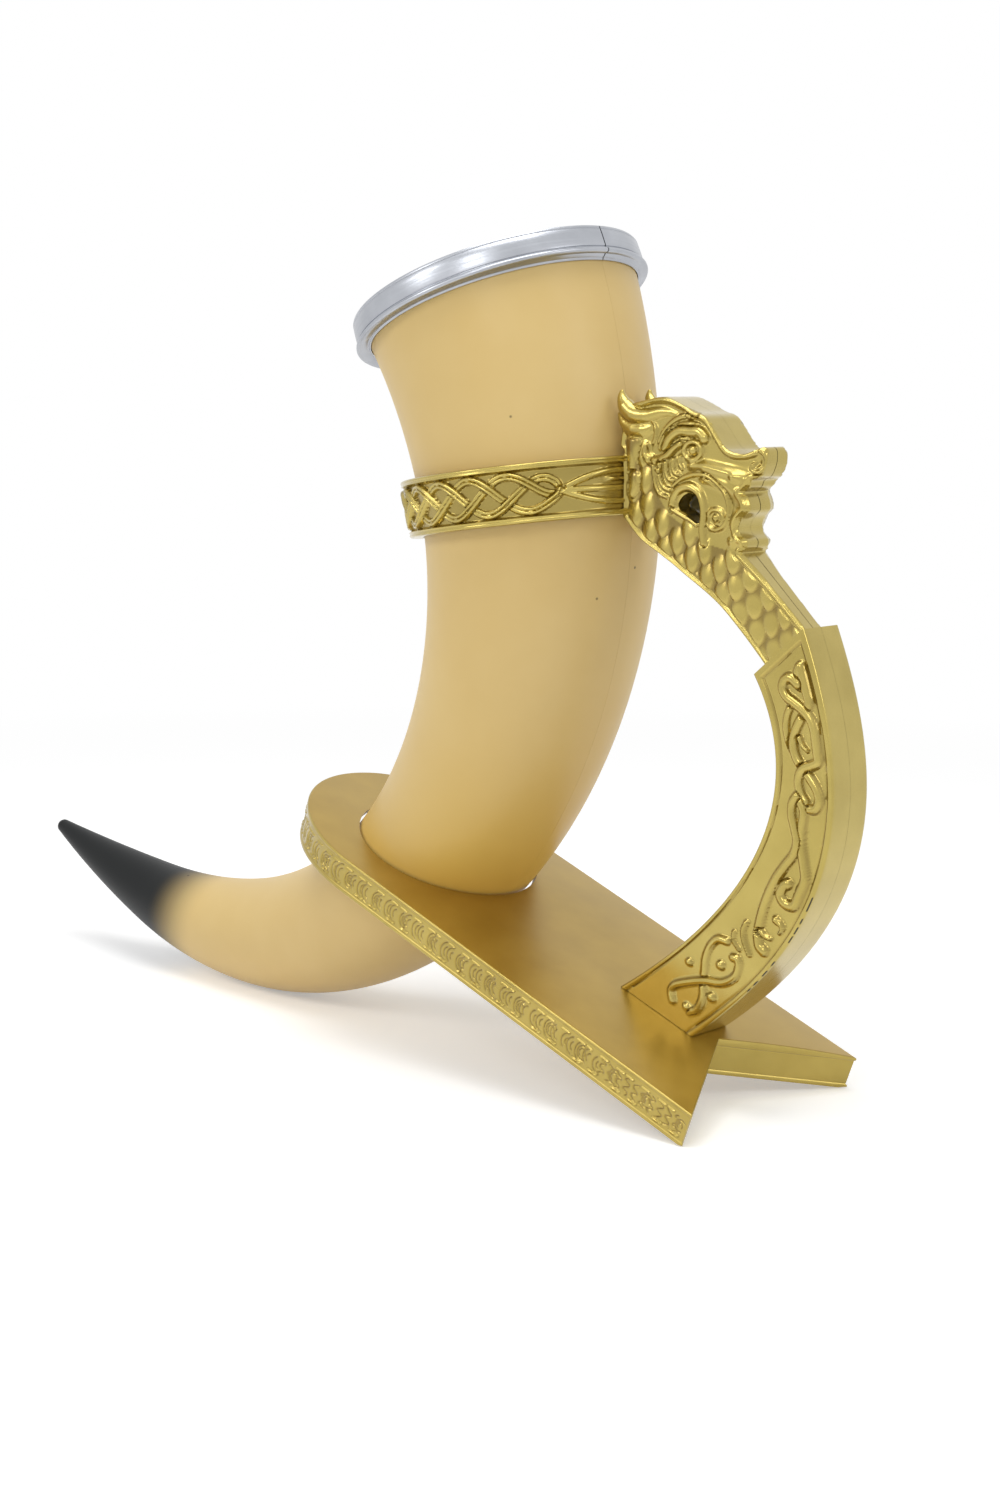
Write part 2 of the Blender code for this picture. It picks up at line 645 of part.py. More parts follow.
def plate_ends(inset):
    """Left and right ends of the rows that cross the plate, as (x, y) points, drawn in by a wall."""
    half = PLATE_HALF_WIDTH - inset
    slant = math.hypot(TAIL_LENGTH, PLATE_HALF_WIDTH) / PLATE_HALF_WIDTH
    left, right = [], []
    for row in range(-PLATE_ROWS, PLATE_ROWS + 1):
        turn = row / PLATE_ROWS * math.pi / 2
        y = half * math.sin(turn)
        left.append((-PLATE_STRAIGHT_LENGTH - (PLATE_ROUND_LENGTH - inset) * math.cos(turn), y))
        right.append((TAIL_LENGTH * abs(y) / PLATE_HALF_WIDTH - inset * slant, y))
    return left, right


def add_layer(shape, inset, height):
    """One level of the plate's outline: its left ends and right ends; height is a function of y."""
    return add_rows(shape, [[(x, y, height(y)) for x, y in ends] for ends in plate_ends(inset)])


def build_plate(frame, material):
    """Base plate: a domed top with a skirt, a fishtail, a hole for the horn and screw holes."""
    below = lambda y: -PLATE_DEPTH
    ceiling = lambda y: crown(y) - PLATE_TOP_WALL
    shape = bmesh.new()
    layers = [add_layer(shape, *level) for level in (
        (0, crown), (0, below), (PLATE_SKIRT_WALL, below), (PLATE_SKIRT_WALL, ceiling))]
    join_rows(shape, [left + right[::-1] for left, right in layers], closed=True)
    for left, right in (layers[0], layers[-1]):
        join_rows(shape, [left, right], closed=False)
    plate = make_piece("base_plate", shape, frame, material)
    plate.location = lift(NOTCH)
    plate.rotation_euler = (0, PLATE_TILT, 0)
    return plate


def horn_hole(frame):
    """Cutter for the horn's hole, along the horn where it crosses the plate."""
    crossing = from_plate(-HORN_FROM_NOTCH, PLATE_CROWN) - Vector((0, BEND_HEIGHT))
    angle = math.atan2(crossing.y, crossing.x)
    radius = horn_radius(length_at_angle(angle)) + HOLE_CLEARANCE
    shape = turned([(radius, -radius), (radius, radius)], RING_SEGMENTS)
    cutter = make_piece("horn_hole_cut", shape, frame)
    cutter.location = lift(crossing, 0) + Vector((0, 0, BEND_HEIGHT))
    cutter.rotation_euler = (0, -angle, 0)
    return cutter


def ground_block(frame):
    """Cutter under the ground: it leaves a small flat under each tip of the fishtail."""
    reach = PLATE_STRAIGHT_LENGTH
    back, front = NOTCH.x - reach, NOTCH.x + reach
    corners = [(back, -reach), (front, -reach), (front, 0), (back, 0)]
    return make_piece("ground_cut", prism([Vector(c) for c in corners], -reach, reach), frame)


def main():
    """Build the whole object."""
    for old in list(bpy.data.objects):
        bpy.data.objects.remove(old, do_unlink=True)
    cream = make_material("horn_cream", (0.72, 0.53, 0.23), 0.45, 0.0)
    cream_right = make_material("horn_cream_right", (0.72, 0.53, 0.23), 0.45, 0.0)
    silver = make_material("rim_silver", (0.46, 0.47, 0.49), 0.35, 0.9)
    gold_names = (
        "plate_gold", "arm_left_gold", "arm_right_gold", "dragon_left_gold", "dragon_right_gold",
        "collar_gold",
    )
    golds = [make_material(name, (0.45, 0.34, 0.08), 0.35, 0.8) for name in gold_names]
    steel = make_material("screw_steel", (0.35, 0.35, 0.36), 0.4, 1.0)

    frame = make_empty("stand_frame", (ORIGIN_X, 0, 0))
    pivot = make_empty("horn_pivot", (0, 0, BEND_HEIGHT), frame)
    build_horn_half("horn_left_half", -1, pivot, cream)
    build_horn_half("horn_right_half", 1, pivot, cream_right)
    build_rim(pivot, silver)

    plate = build_plate(frame, golds[0])
    holes = foot_holes("foot_holes_cut", plate)
    for cutter in (horn_hole(frame), ground_block(frame), holes):
        add_boolean(plate, "DIFFERENCE", cutter)
    build_arm_half("arm_left_half", -1, frame, golds[1], holes)
    build_arm_half("arm_right_half", 1, frame, golds[2], holes)
    build_dragon(frame, golds[3:5])
    build_collar(frame, golds[5])
    build_screws(plate, steel)


main()
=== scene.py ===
# %% [markdown]
# # A drinking horn in its dragon-handled stand
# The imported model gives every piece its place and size. This lesson dresses it: plain solids are
# replaced by carved or turned pieces of the same size, and every surface gets a real finish.
# All sizes below are in millimetres, and one factor turns them into Blender's metres.

import math

import bpy
import numpy as np
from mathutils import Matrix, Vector


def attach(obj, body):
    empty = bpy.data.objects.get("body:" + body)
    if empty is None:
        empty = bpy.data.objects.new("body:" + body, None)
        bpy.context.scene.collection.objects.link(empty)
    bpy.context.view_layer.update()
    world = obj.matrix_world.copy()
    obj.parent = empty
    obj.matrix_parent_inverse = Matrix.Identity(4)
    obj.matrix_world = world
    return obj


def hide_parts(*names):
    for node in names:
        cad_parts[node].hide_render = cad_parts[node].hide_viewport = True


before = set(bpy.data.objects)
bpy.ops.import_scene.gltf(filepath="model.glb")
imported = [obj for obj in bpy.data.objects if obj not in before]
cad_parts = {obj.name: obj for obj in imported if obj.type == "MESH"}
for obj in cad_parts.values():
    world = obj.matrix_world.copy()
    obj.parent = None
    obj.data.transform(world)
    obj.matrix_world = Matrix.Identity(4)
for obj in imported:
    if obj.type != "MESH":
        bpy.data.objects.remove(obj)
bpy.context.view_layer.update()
MM = 0.001
print("nodes:", sorted(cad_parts))

# %% [markdown]
# ## The camera
# The photo was taken a little above the table, from the handle's side. A short lens close by and a
# long one far away could both frame the horn, but only one distance gives the same perspective. It
# was worked out from the rim and the plate, and goes with a lens of 57 mm.

# %% Set up the camera
CAMERA_PLACE = (494.17, -471.1, 184.5)
CAMERA_AZIMUTH_DEG = 43.655
CAMERA_ELEVATION_DEG = 8.723
CAMERA_LENS = 56.88

camera_data = bpy.data.cameras.new("photo_camera")
camera_data.lens = CAMERA_LENS
camera_data.sensor_width = 36
camera = bpy.data.objects.new("photo_camera", camera_data)
camera.location = [value * MM for value in CAMERA_PLACE]
camera.rotation_euler = (math.radians(90 - CAMERA_ELEVATION_DEG), 0, math.radians(CAMERA_AZIMUTH_DEG))
bpy.context.scene.collection.objects.link(camera)
bpy.context.scene.camera = camera
print("camera at", CAMERA_PLACE)

# %% [markdown]
# ## Finishes
# A finish is a small tree of nodes round one Principled shader. It could be wired by hand in the
# shader editor. Here one function turns the hex colours that designers use into Blender's linear
# values, and one adds a node with its settings and links, so that each finish reads like a recipe.

# %% Helpers for finishes
NOISE, RAMP, RANGE = "ShaderNodeTexNoise", "ShaderNodeValToRGB", "ShaderNodeMapRange"
ATTRIBUTE, PATH = "ShaderNodeAttribute", "ShaderNodeLightPath"
MIX = ("ShaderNodeMix", {"data_type": "RGBA"})
TIMES = ("ShaderNodeMath", {"operation": "MULTIPLY"})
LARGER = ("ShaderNodeMath", {"operation": "MAXIMUM"})


def colour(hex_value):
    """Linear colour of an sRGB hex value."""
    parts = [int(hex_value[i:i + 2], 16) / 255 for i in (1, 3, 5)]
    linear = [p / 12.92 if p <= 0.04045 else ((p + 0.055) / 1.055) ** 2.4 for p in parts]
    return (*linear, 1.0)


def set_inputs(node, **inputs):
    """Give a node's inputs values, or links from other nodes' sockets."""
    for name, value in inputs.items():
        socket = node.inputs[int(name[1:]) if name[0] == "_" else name.replace("_", " ")]
        if isinstance(value, bpy.types.NodeSocket):
            node.id_data.links.new(value, socket)
        else:
            socket.default_value = value


def add_node(tree, kind, settings=None, stops=(), **inputs):
    """Node of a kind, with its settings, a ramp's (place, colour) stops, and its inputs."""
    node = tree.nodes.new(kind)
    for name, value in (settings or {}).items():
        setattr(node, name, value)
    for index, (place, value) in enumerate(stops):
        node.color_ramp.elements[index].position = place
        node.color_ramp.elements[index].color = value
    set_inputs(node, **inputs)
    return node


def new_finish(name):
    """Empty material: its tree, its Principled shader and the Object coordinates."""
    material = bpy.data.materials.new(name)
    material.use_nodes = True
    tree = material.node_tree
    place = add_node(tree, "ShaderNodeTexCoord").outputs["Object"]
    return material, tree, tree.nodes["Principled BSDF"], place


print("finish helpers ready")

# %% [markdown]
# ### Gold-coloured metallised plastic
# The stand's mouldings are ABS with metal flakes in a clear gold lacquer. The flakes mirror the room
# softly, and the lacquer has chipped off to black plastic along one edge. The recesses are painted
# darker as painted shade, and so is the deep part of the dragon's mouth. A photo of worn gold could be
# laid on, but it would stretch over the carving. Two attributes of each piece say instead where shade
# is painted and where the lacquer is gone.

# %% Make the gold finish
GOLD_BROAD_MM = 14.0
GOLD_GRIT_MM = 0.45
# Colour of the painted shade in the recesses.
RECESS_SHADE_COLOUR = "#6A4E12"
# Bare plastic on the chips, also used as painted shade in the dragon's mouth pit.
CHIP_AND_PIT_SHADE_COLOUR = "#1C1710"
LACQUER_IOR = 1.5
SMOOTHER, ROUGHER = 0.05, 0.08
COAT_SMOOTHER = 0.8
BUMP_MM = 0.1


def make_gold(name, roughness, coat, flake, dark, pale):
    """Gold lacquer over metal flakes, its tone between a dark and a pale one."""
    material, tree, shader, place = new_finish(name)
    broad = add_node(tree, NOISE, Vector=place, Scale=1000 / GOLD_BROAD_MM, Detail=3.0).outputs["Fac"]
    grit = add_node(tree, NOISE, Vector=place, Scale=1000 / GOLD_GRIT_MM, Detail=2.0).outputs["Fac"]
    recess = add_node(tree, ATTRIBUTE, {"attribute_name": "recess"}).outputs["Fac"]
    chip = add_node(tree, ATTRIBUTE, {"attribute_name": "chip"}).outputs["Fac"]
    tone = add_node(tree, RAMP, stops=[(0.3, colour(dark)), (0.7, colour(pale))], Fac=broad)
    # Painted shade: the recesses are darkened towards a deep brown.
    shaded_recesses = add_node(tree, *MIX, _0=recess, _6=tone.outputs[0], _7=colour(RECESS_SHADE_COLOUR))
    # Bare plastic where the lacquer has chipped, and painted shade in the mouth pit.
    chipped_and_pit_shaded = add_node(tree, *MIX, _0=chip, _6=shaded_recesses.outputs[2], _7=colour(CHIP_AND_PIT_SHADE_COLOUR))
    whole = add_node(tree, "ShaderNodeMath", {"operation": "SUBTRACT"}, _0=1.0, _1=chip).outputs[0]
    metal = add_node(tree, *TIMES, _0=whole, _1=flake)
    clear = add_node(tree, *TIMES, _0=whole, _1=coat)
    rough = add_node(tree, RANGE, Value=broad, To_Min=roughness - SMOOTHER, To_Max=roughness + ROUGHER)
    bump = add_node(tree, "ShaderNodeBump", Height=grit, Strength=0.05, Distance=BUMP_MM * MM)
    set_inputs(shader, Base_Color=chipped_and_pit_shaded.outputs[2], Metallic=metal.outputs[0],
               Roughness=rough.outputs[0], Normal=bump.outputs[0], Coat_Weight=clear.outputs[0],
               Coat_IOR=LACQUER_IOR, Coat_Roughness=roughness * COAT_SMOOTHER)
    return material


GOLD_CARVED = make_gold("metallised_ABS_gold_carved", 0.23, 0.7, 0.92, "#AD9948", "#BCA856")
# The plate's top is a deeper, more saturated gold than its skirt of the same moulding: painted reflection
# of the cream horn and the arm above it.
GOLD_PLAIN = make_gold("metallised_ABS_gold_plain", 0.40, 0.55, 0.82, "#A98A30", "#B6973E")
GOLD_SKIRT = make_gold("metallised_ABS_gold_skirt", 0.28, 0.7, 0.92, "#A6903E", "#B59F4C")
print("gold finishes:", GOLD_CARVED.name, GOLD_PLAIN.name, GOLD_SKIRT.name)

# %% [markdown]
# ### Cream plastic, sprayed black at the tip
# The horn is a satin cream moulding with a soft, even shine. Black was sprayed on at the tip, so it
# fades out over a few centimetres. Low on the horn the cream is painted amber, as painted reflection
# of the gold plate. Both could be painted by hand; two attributes follow the horn's own curve instead.
# A few dark specks as large as a grain of sand are moulded in.

# %% Make the cream finish
CREAM_CLOUD_MM = 45.0
SPECK_SPACING_MM = 17.0
SPECK_SIZE_MM = 0.9
WHITE, BLACK = colour("#FFFFFF"), colour("#000000")

# Satin cream plastic with specks, amber where the plate's reflection is painted and black where ink is.
CREAM, tree, shader, place = new_finish("moulded_cream_plastic")
cloud = add_node(tree, NOISE, Vector=place, Scale=1000 / CREAM_CLOUD_MM, Detail=4.0).outputs["Fac"]
cells = add_node(tree, "ShaderNodeTexVoronoi", Vector=place, Scale=1000 / SPECK_SPACING_MM)
amber = add_node(tree, ATTRIBUTE, {"attribute_name": "amber"}).outputs["Fac"]
ink = add_node(tree, ATTRIBUTE, {"attribute_name": "ink"}).outputs["Fac"]
edge = SPECK_SIZE_MM / SPECK_SPACING_MM / 2
dots = [(edge * 0.7, WHITE), (edge * 1.3, BLACK)]
speck = add_node(tree, RAMP, stops=dots, Fac=cells.outputs["Distance"])
cream = add_node(tree, RAMP, stops=[(0.3, colour("#DFBF79")), (0.7, colour("#E6C988"))], Fac=cloud)
# Painted reflection of the gold plate, amber low on the horn.
reflected = add_node(tree, *MIX, _0=amber, _6=cream.outputs[0], _7=colour("#E2BC5C"))
speckled = add_node(tree, *MIX, _0=speck.outputs[0], _6=reflected.outputs[2], _7=colour("#5E4524"))
inked = add_node(tree, *MIX, _0=ink, _6=speckled.outputs[2], _7=colour("#0F1213"))
rough = add_node(tree, RANGE, Value=cloud, To_Min=0.36, To_Max=0.48)
shine = add_node(tree, RANGE, Value=ink, To_Min=0.5, To_Max=0.2)
set_inputs(shader, Base_Color=inked.outputs[2], Roughness=rough.outputs[0], IOR=1.5,
           Specular_IOR_Level=shine.outputs[0])
print("cream finish:", CREAM.name)

# %% [markdown]
# ### Silver lacquer on the rim
# The rim is bright and a little milky, with the fine turning lines of its mould round it. Lines on
# Object coordinates would run straight across the ring, so the attribute height carries them round.

# %% Make the silver finish
SILVER_LINE_MM = 0.5
SILVER_CLOUD_MM = 11.1

# Silver film with fine lines round the ring, along the attribute height.
SILVER, tree, shader, place = new_finish("metallised_ABS_silver")
height = add_node(tree, ATTRIBUTE, {"attribute_name": "height"}).outputs["Fac"]
lines = add_node(tree, NOISE, {"noise_dimensions": "1D"}, W=height, Scale=1 / SILVER_LINE_MM)
line = lines.outputs["Fac"]
cloud = add_node(tree, NOISE, Vector=place, Scale=1000 / SILVER_CLOUD_MM, Detail=3.0).outputs["Fac"]
tone = add_node(tree, RAMP, stops=[(0.3, colour("#A6A9AF")), (0.7, colour("#B6B9BF"))], Fac=cloud)
rough = add_node(tree, RANGE, Value=line, To_Min=0.24, To_Max=0.40)
bump = add_node(tree, "ShaderNodeBump", Height=line, Strength=0.12, Distance=BUMP_MM * MM)
set_inputs(shader, Base_Color=tone.outputs[0], Metallic=1.0, Roughness=rough.outputs[0],
           Normal=bump.outputs[0])
print("silver finish:", SILVER.name)

# %% [markdown]
# ## Shaping helpers
# Every piece could be pushed and pulled by hand from a plane or a circle. Most start here as a flat
# grid, the way a modeller starts from a plane, and each row of the grid is then laid on a line over
# the piece's form. Its open edges are filled afterwards, so that every piece is a closed solid.


# %% Helpers for points
def read_points(piece):
    """Vertices as an array."""
    points = np.empty(len(piece.data.vertices) * 3)
    piece.data.vertices.foreach_get("co", points)
    return points.reshape(-1, 3)


def write_points(piece, points):
    """Put the vertices at these places."""
    piece.data.vertices.foreach_set("co", np.ascontiguousarray(points, dtype=float).ravel())
    piece.data.update()


def paint(piece, name, values):
    """Point attribute that the finish reads, from one value or one for each vertex."""
    layer = piece.data.attributes.get(name) or piece.data.attributes.new(name, "FLOAT", "POINT")
    layer.data.foreach_set("value", np.full(len(layer.data), values, dtype=np.float32))


def lay_grid(name, lines):
    """Grid primitive with a row on each line of points, and each vertex's place in the lines."""
    rows, columns = lines.shape[0] - 1, lines.shape[1] - 1
    bpy.ops.object.select_all(action="DESELECT")
    bpy.ops.mesh.primitive_grid_add(x_subdivisions=columns, y_subdivisions=rows, size=1)
    piece = bpy.context.object
    piece.name = piece.data.name = name
    flat = np.rint((read_points(piece)[:, :2] + 0.5) * [columns, rows]).astype(int)
    order = flat[:, 1] * (columns + 1) + flat[:, 0]
    write_points(piece, lines.reshape(-1, 3)[order] * MM)
    return piece, order


print("point helpers ready")


# %% Helpers for edit mode
WELD = 0.01


def make_active(piece):
    """Select one object and nothing else."""
    bpy.ops.object.select_all(action="DESELECT")
    piece.select_set(True)
    bpy.context.view_layer.objects.active = piece


def edit(piece, operator, mask=None, **settings):
    """Run an edit mode operator on the masked vertices, or on all of them."""
    make_active(piece)
    bpy.ops.object.mode_set(mode="EDIT")
    bpy.ops.mesh.select_mode(type="VERT")
    bpy.ops.mesh.select_all(action="SELECT" if mask is None else "DESELECT")
    if mask is not None:
        bpy.ops.object.mode_set(mode="OBJECT")
        piece.data.vertices.foreach_set("select", np.asarray(mask, dtype=bool))
        bpy.ops.object.mode_set(mode="EDIT")
    operator(**settings)
    bpy.ops.object.mode_set(mode="OBJECT")


def weld(piece):
    """Merge vertices that lie on each other, where a grid closes on itself or runs to a point."""
    edit(piece, bpy.ops.mesh.remove_doubles, threshold=WELD * MM)


def fill_open(piece):
    """One face across each opening that is left."""
    edit(piece, bpy.ops.mesh.fill_holes, sides=0)


def turn_out(piece):
    """Faces pointing outwards."""
    edit(piece, bpy.ops.mesh.normals_make_consistent, inside=False)


def apply_modifier(piece, kind, **settings):
    """Add a modifier with its settings and apply it."""
    make_active(piece)
    modifier = piece.modifiers.new(kind.lower(), kind)
    for name, value in settings.items():
        setattr(modifier, name, value)
    bpy.ops.object.modifier_apply(modifier=modifier.name)


print("edit helpers ready")


# %% Helpers that copy a half and hand a piece over
def mirrored(piece, name):
    """Copy of a half on the other side of the middle plane, with its own mesh."""
    make_active(piece)
    bpy.ops.object.duplicate()
    other = bpy.context.object
    other.name = other.data.name = name
    write_points(other, read_points(other) * np.array([1, -1, 1]))
    return other


def finish_piece(piece, body, finish, nodes, sharp_deg=50.0):
    """Turn the faces out, smooth them, give the finish and put the piece in its CAD node's place."""
    turn_out(piece)
    bpy.ops.object.shade_smooth_by_angle(angle=math.radians(sharp_deg))
    piece.data.materials.clear()
    piece.data.materials.append(finish)
    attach(piece, body)
    if nodes:
        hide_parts(*nodes)
    size = np.ptp(read_points(piece), axis=0) / MM
    print(piece.name, len(piece.data.polygons), "faces,", np.round(size, 1), "mm")


print("hand-over helpers ready")


# %% Helpers for curves
def smoothstep(low, high, value):
    """0 below low, 1 above high, with soft ends."""
    t = np.clip((np.asarray(value, float) - low) / (high - low), 0, 1)
    return t * t * (3 - 2 * t)


def hump(value, middle, width):
    """1 at the middle, falling off on both sides."""
    return np.exp(-((value - middle) / width) ** 2)


def dome(value):
    """Height of a half round, 1 where the value is 0 and 0 where it is 1."""
    return np.sqrt(np.clip(1 - value ** 2, 0, 1))


def smooth_run(points, spacing=0.4):
    """Points on a smooth curve through the given ones."""
    p = np.array(points, float)
    ends = np.vstack([2 * p[0] - p[1], p, 2 * p[-1] - p[-2]])
    if np.allclose(p[0], p[-1]):
        ends[0], ends[-1] = p[-2], p[1]
    run = []
    for a, b, c, d in zip(ends, ends[1:], ends[2:], ends[3:]):
        steps = max(2, int(np.hypot(*(c - b)) / spacing))
        t = (np.arange(steps) / steps)[:, None]
        curved = (2 * a - 5 * b + 4 * c - d) * t ** 2 + (3 * (b - c) + d - a) * t ** 3
        run.append(b + ((c - a) * t + curved) / 2)
    return np.vstack([*run, p[-1:]])


def distance_to(points, run):
    """Distance of each point to a run, and how far along the run (0 to 1) the nearest place is."""
    best = np.full(len(points), 1e9)
    along = np.zeros(len(points))
    for k, (a, b) in enumerate(zip(run, run[1:])):
        side = b - a
        t = np.clip((points - a) @ side / max(side @ side, 1e-12), 0, 1)
        gap = np.hypot(*(points - a - t[:, None] * side).T)
        nearer = gap < best
        best[nearer] = gap[nearer]
        along[nearer] = ((k + t) / (len(run) - 1))[nearer]
    return best, along


def inside(points, outline):
    """Which points lie inside a closed outline."""
    x, y = points.T
    result = np.zeros(len(points), bool)
    for (ax, ay), (bx, by) in zip(outline, np.roll(outline, -1, axis=0)):
        crosses = (ay > y) != (by > y)
        with np.errstate(divide="ignore", invalid="ignore"):
            result ^= crosses & (x < (bx - ax) * (y - ay) / (by - ay) + ax)
    return result


print("curve helpers ready")

# %% [markdown]
# ## Carving
# The ornament could be cut with Booleans, stroke by stroke. It is laid on like clay instead: each
# stroke is a smooth run with a rounded section and a small groove on both sides of it, and a later
# stroke passes over an earlier one. That gives strands that weave over and under without one Boolean.

# %% Helper for carving
GROOVE_WIDTH = 0.42
GROOVE_SINK = 0.13
GROOVE_SHADE_WIDTH = 0.32
STROKE_REACH = 2.2


def carve(points, strokes, field):
    """Height at each point under strokes of (name, start half width, end half width, height, run).

    A stroke named soft swells out of the face without grooves, and one of negative height is a line.
    The second result is 1 in the grooves beside the strokes and 0 away from them."""
    groove = np.zeros(len(points))
    for name, start, end, height, run in strokes:
        run = smooth_run(run)
        reach = max(start, end) * STROKE_REACH + GROOVE_WIDTH
        near = np.all((points > run.min(0) - reach) & (points < run.max(0) + reach), axis=1)
        gap, along = distance_to(points[near], run)
        width = start + (end - start) * along
        if name.startswith("soft") or height < 0:
            line = hump(gap, 0, width)
            field[near] += height * line
            groove[near] = np.maximum(groove[near], line * (height < 0))
            continue
        beside = smoothstep(0, GROOVE_WIDTH, width + GROOVE_WIDTH - gap)
        crest = (height + GROOVE_SINK) * dome(gap / width)
        field[near] = field[near] * (1 - beside) - GROOVE_SINK * beside + crest
        # The groove mask marks where painted shade goes beside the strokes.
        groove[near] = np.maximum(groove[near] * (gap > width), hump(gap, width, GROOVE_SHADE_WIDTH))
    return field, groove


def scaled_strokes(strokes, fatter, taller):
    """The same strokes with other widths and heights."""
    return [(name, start * fatter, end * fatter, height * taller, run)
            for name, start, end, height, run in strokes]


print("carving helper ready")

# %% [markdown]
# ## The horn
# The horn is two half shells that meet in the middle plane, as the seam on the real one shows. A
# bevelled curve object could give the outside, but not a hollow that ends before the tip. So a grid
# is laid from the end of the hollow up the inside, over the lip and down the outside to the tip. The
# centre line is a chain of arcs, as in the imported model, and the radius follows one smooth curve.

# %% Horn sizes
BEND = np.array([-67.215, 143.72])
MOUTH_RUN_RADIUS, MOUTH_RUN_LENGTH = 155.0, 44.0
BEND_RADIUS, BEND_TOP_DEG, BEND_BOTTOM_DEG = 127.5, 11.0, -86.0
TIP_BEND_RADIUS, TIP_BEND_LENGTH = 160.0, 50.3
TIP_RUN_RADIUS, TIP_RUN_LENGTH = 500.0, 54.0
HORN_RADII = (37.7, 25.0, 23.9, 2.3)
HORN_WALL = 2.0
SOLID_TIP_LENGTH = 45.0
RIM_TILT_DEG = 22.0
MOUTH_BLEND_LENGTH = 50.0
HORN_ARCS = (
    (MOUTH_RUN_RADIUS, MOUTH_RUN_LENGTH),
    (BEND_RADIUS, BEND_RADIUS * math.radians(BEND_TOP_DEG - BEND_BOTTOM_DEG)),
    (TIP_BEND_RADIUS, TIP_BEND_LENGTH),
    (TIP_RUN_RADIUS, TIP_RUN_LENGTH),
)
HORN_LENGTH = sum(length for radius, length in HORN_ARCS)
MOUTH_ANGLE = math.radians(BEND_TOP_DEG) + MOUTH_RUN_LENGTH / MOUTH_RUN_RADIUS
print("horn is", round(HORN_LENGTH, 1), "mm along its middle")


# %% Helpers for the horn's sections
def towards(angle):
    """Unit vector in the middle plane, as (x, z)."""
    return np.array([math.cos(angle), math.sin(angle)])


def horn_point(s):
    """Centre line of the horn at a length from the mouth, and the angle of its section."""
    angle = MOUTH_ANGLE
    centre = BEND + towards(math.radians(BEND_TOP_DEG)) * (BEND_RADIUS - MOUTH_RUN_RADIUS)
    for index, (radius, length) in enumerate(HORN_ARCS):
        last = index == len(HORN_ARCS) - 1
        step = s if last else min(s, length)
        angle -= step / radius
        s -= step
        if s <= 0 or last:
            break
        centre = centre + towards(angle) * (radius - HORN_ARCS[index + 1][0])
    return centre + towards(angle) * radius, angle


def horn_radius(s):
    """Outer radius of the horn at a length from the mouth."""
    u = s / HORN_LENGTH
    v = 1 - u
    a, b, c, d = HORN_RADII
    return v ** 3 * a + 3 * v * v * u * b + 3 * v * u * u * c + u ** 3 * d


def horn_section(s):
    """Centre, tilt and outer radius of the horn's section."""
    centre, angle = horn_point(s)
    ease = max(0.0, 1 - s / MOUTH_BLEND_LENGTH) ** 2
    return centre, angle + (math.radians(RIM_TILT_DEG) - MOUTH_ANGLE) * ease, horn_radius(s)


def ring(centre, tilt, radius, turns):
    """Points of a circle round the horn; turn 0 is on the outside of the bend, -Y is the left."""
    x, z = (centre + np.outer(radius * np.cos(turns), towards(tilt))).T
    return np.stack([x, -radius * np.sin(turns), z], 1)


print("the horn's tip is at", np.round(horn_point(HORN_LENGTH)[0], 1))

# %% Lay the horn's left half
HORN_COLUMNS = 56
HORN_OUT_STEPS = 200
HORN_IN_STEPS = 60
HOLLOW_END_STEPS, HOLLOW_END_DEPTH = 5, 6.0
LIP_STEPS = 4
TIP_DOME_STEPS = 6
SEAM_GAP = 0.06


def horn_sections():
    """Sections in the order in which the grid's rows follow them."""
    floor = HORN_LENGTH - SOLID_TIP_LENGTH
    rows = []
    for turn in np.arange(HOLLOW_END_STEPS) / HOLLOW_END_STEPS * math.pi / 2:
        centre, tilt, _ = horn_section(floor + HOLLOW_END_DEPTH * math.cos(turn))
        rows.append((centre, tilt, (horn_radius(floor) - HORN_WALL) * math.sin(turn)))
    for step in range(HORN_IN_STEPS + 1):
        centre, tilt, radius = horn_section(floor * (1 - step / HORN_IN_STEPS))
        rows.append((centre, tilt, radius - HORN_WALL))
    centre, tilt, radius = horn_section(0)
    for step in range(1, LIP_STEPS):
        rows.append((centre, tilt, radius - HORN_WALL * (1 - step / LIP_STEPS)))
    rows += [horn_section(HORN_LENGTH * step / HORN_OUT_STEPS) for step in range(HORN_OUT_STEPS + 1)]
    centre, tilt, radius = rows[-1]
    for turn in np.arange(1, TIP_DOME_STEPS + 1) / TIP_DOME_STEPS * math.pi / 2:
        ahead = towards(tilt - math.pi / 2) * radius * math.sin(turn)
        rows.append((centre + ahead, tilt, radius * math.cos(turn)))
    return rows


# Half shell on the left side, as a closed solid.
turns = np.linspace(0, math.pi, HORN_COLUMNS + 1)
lines = np.stack([ring(*section, turns) for section in horn_sections()])
lines[:, :, 1] = np.minimum(lines[:, :, 1], -SEAM_GAP / 2)
horn_left, _ = lay_grid("horn_left_shell", lines)
weld(horn_left)
fill_open(horn_left)
horn_right = mirrored(horn_left, "horn_right_shell")
print("horn halves of", len(horn_left.data.polygons), "faces")

# %% [markdown]
# The spray of black starts 88 mm before the tip and is solid for the last 62 mm. It could be painted
# with a brush; how far a point is from the tip says it more evenly. Just above the plate the horn is
# tinted amber all round, and higher up on its underside: painted reflection of the gold plate.

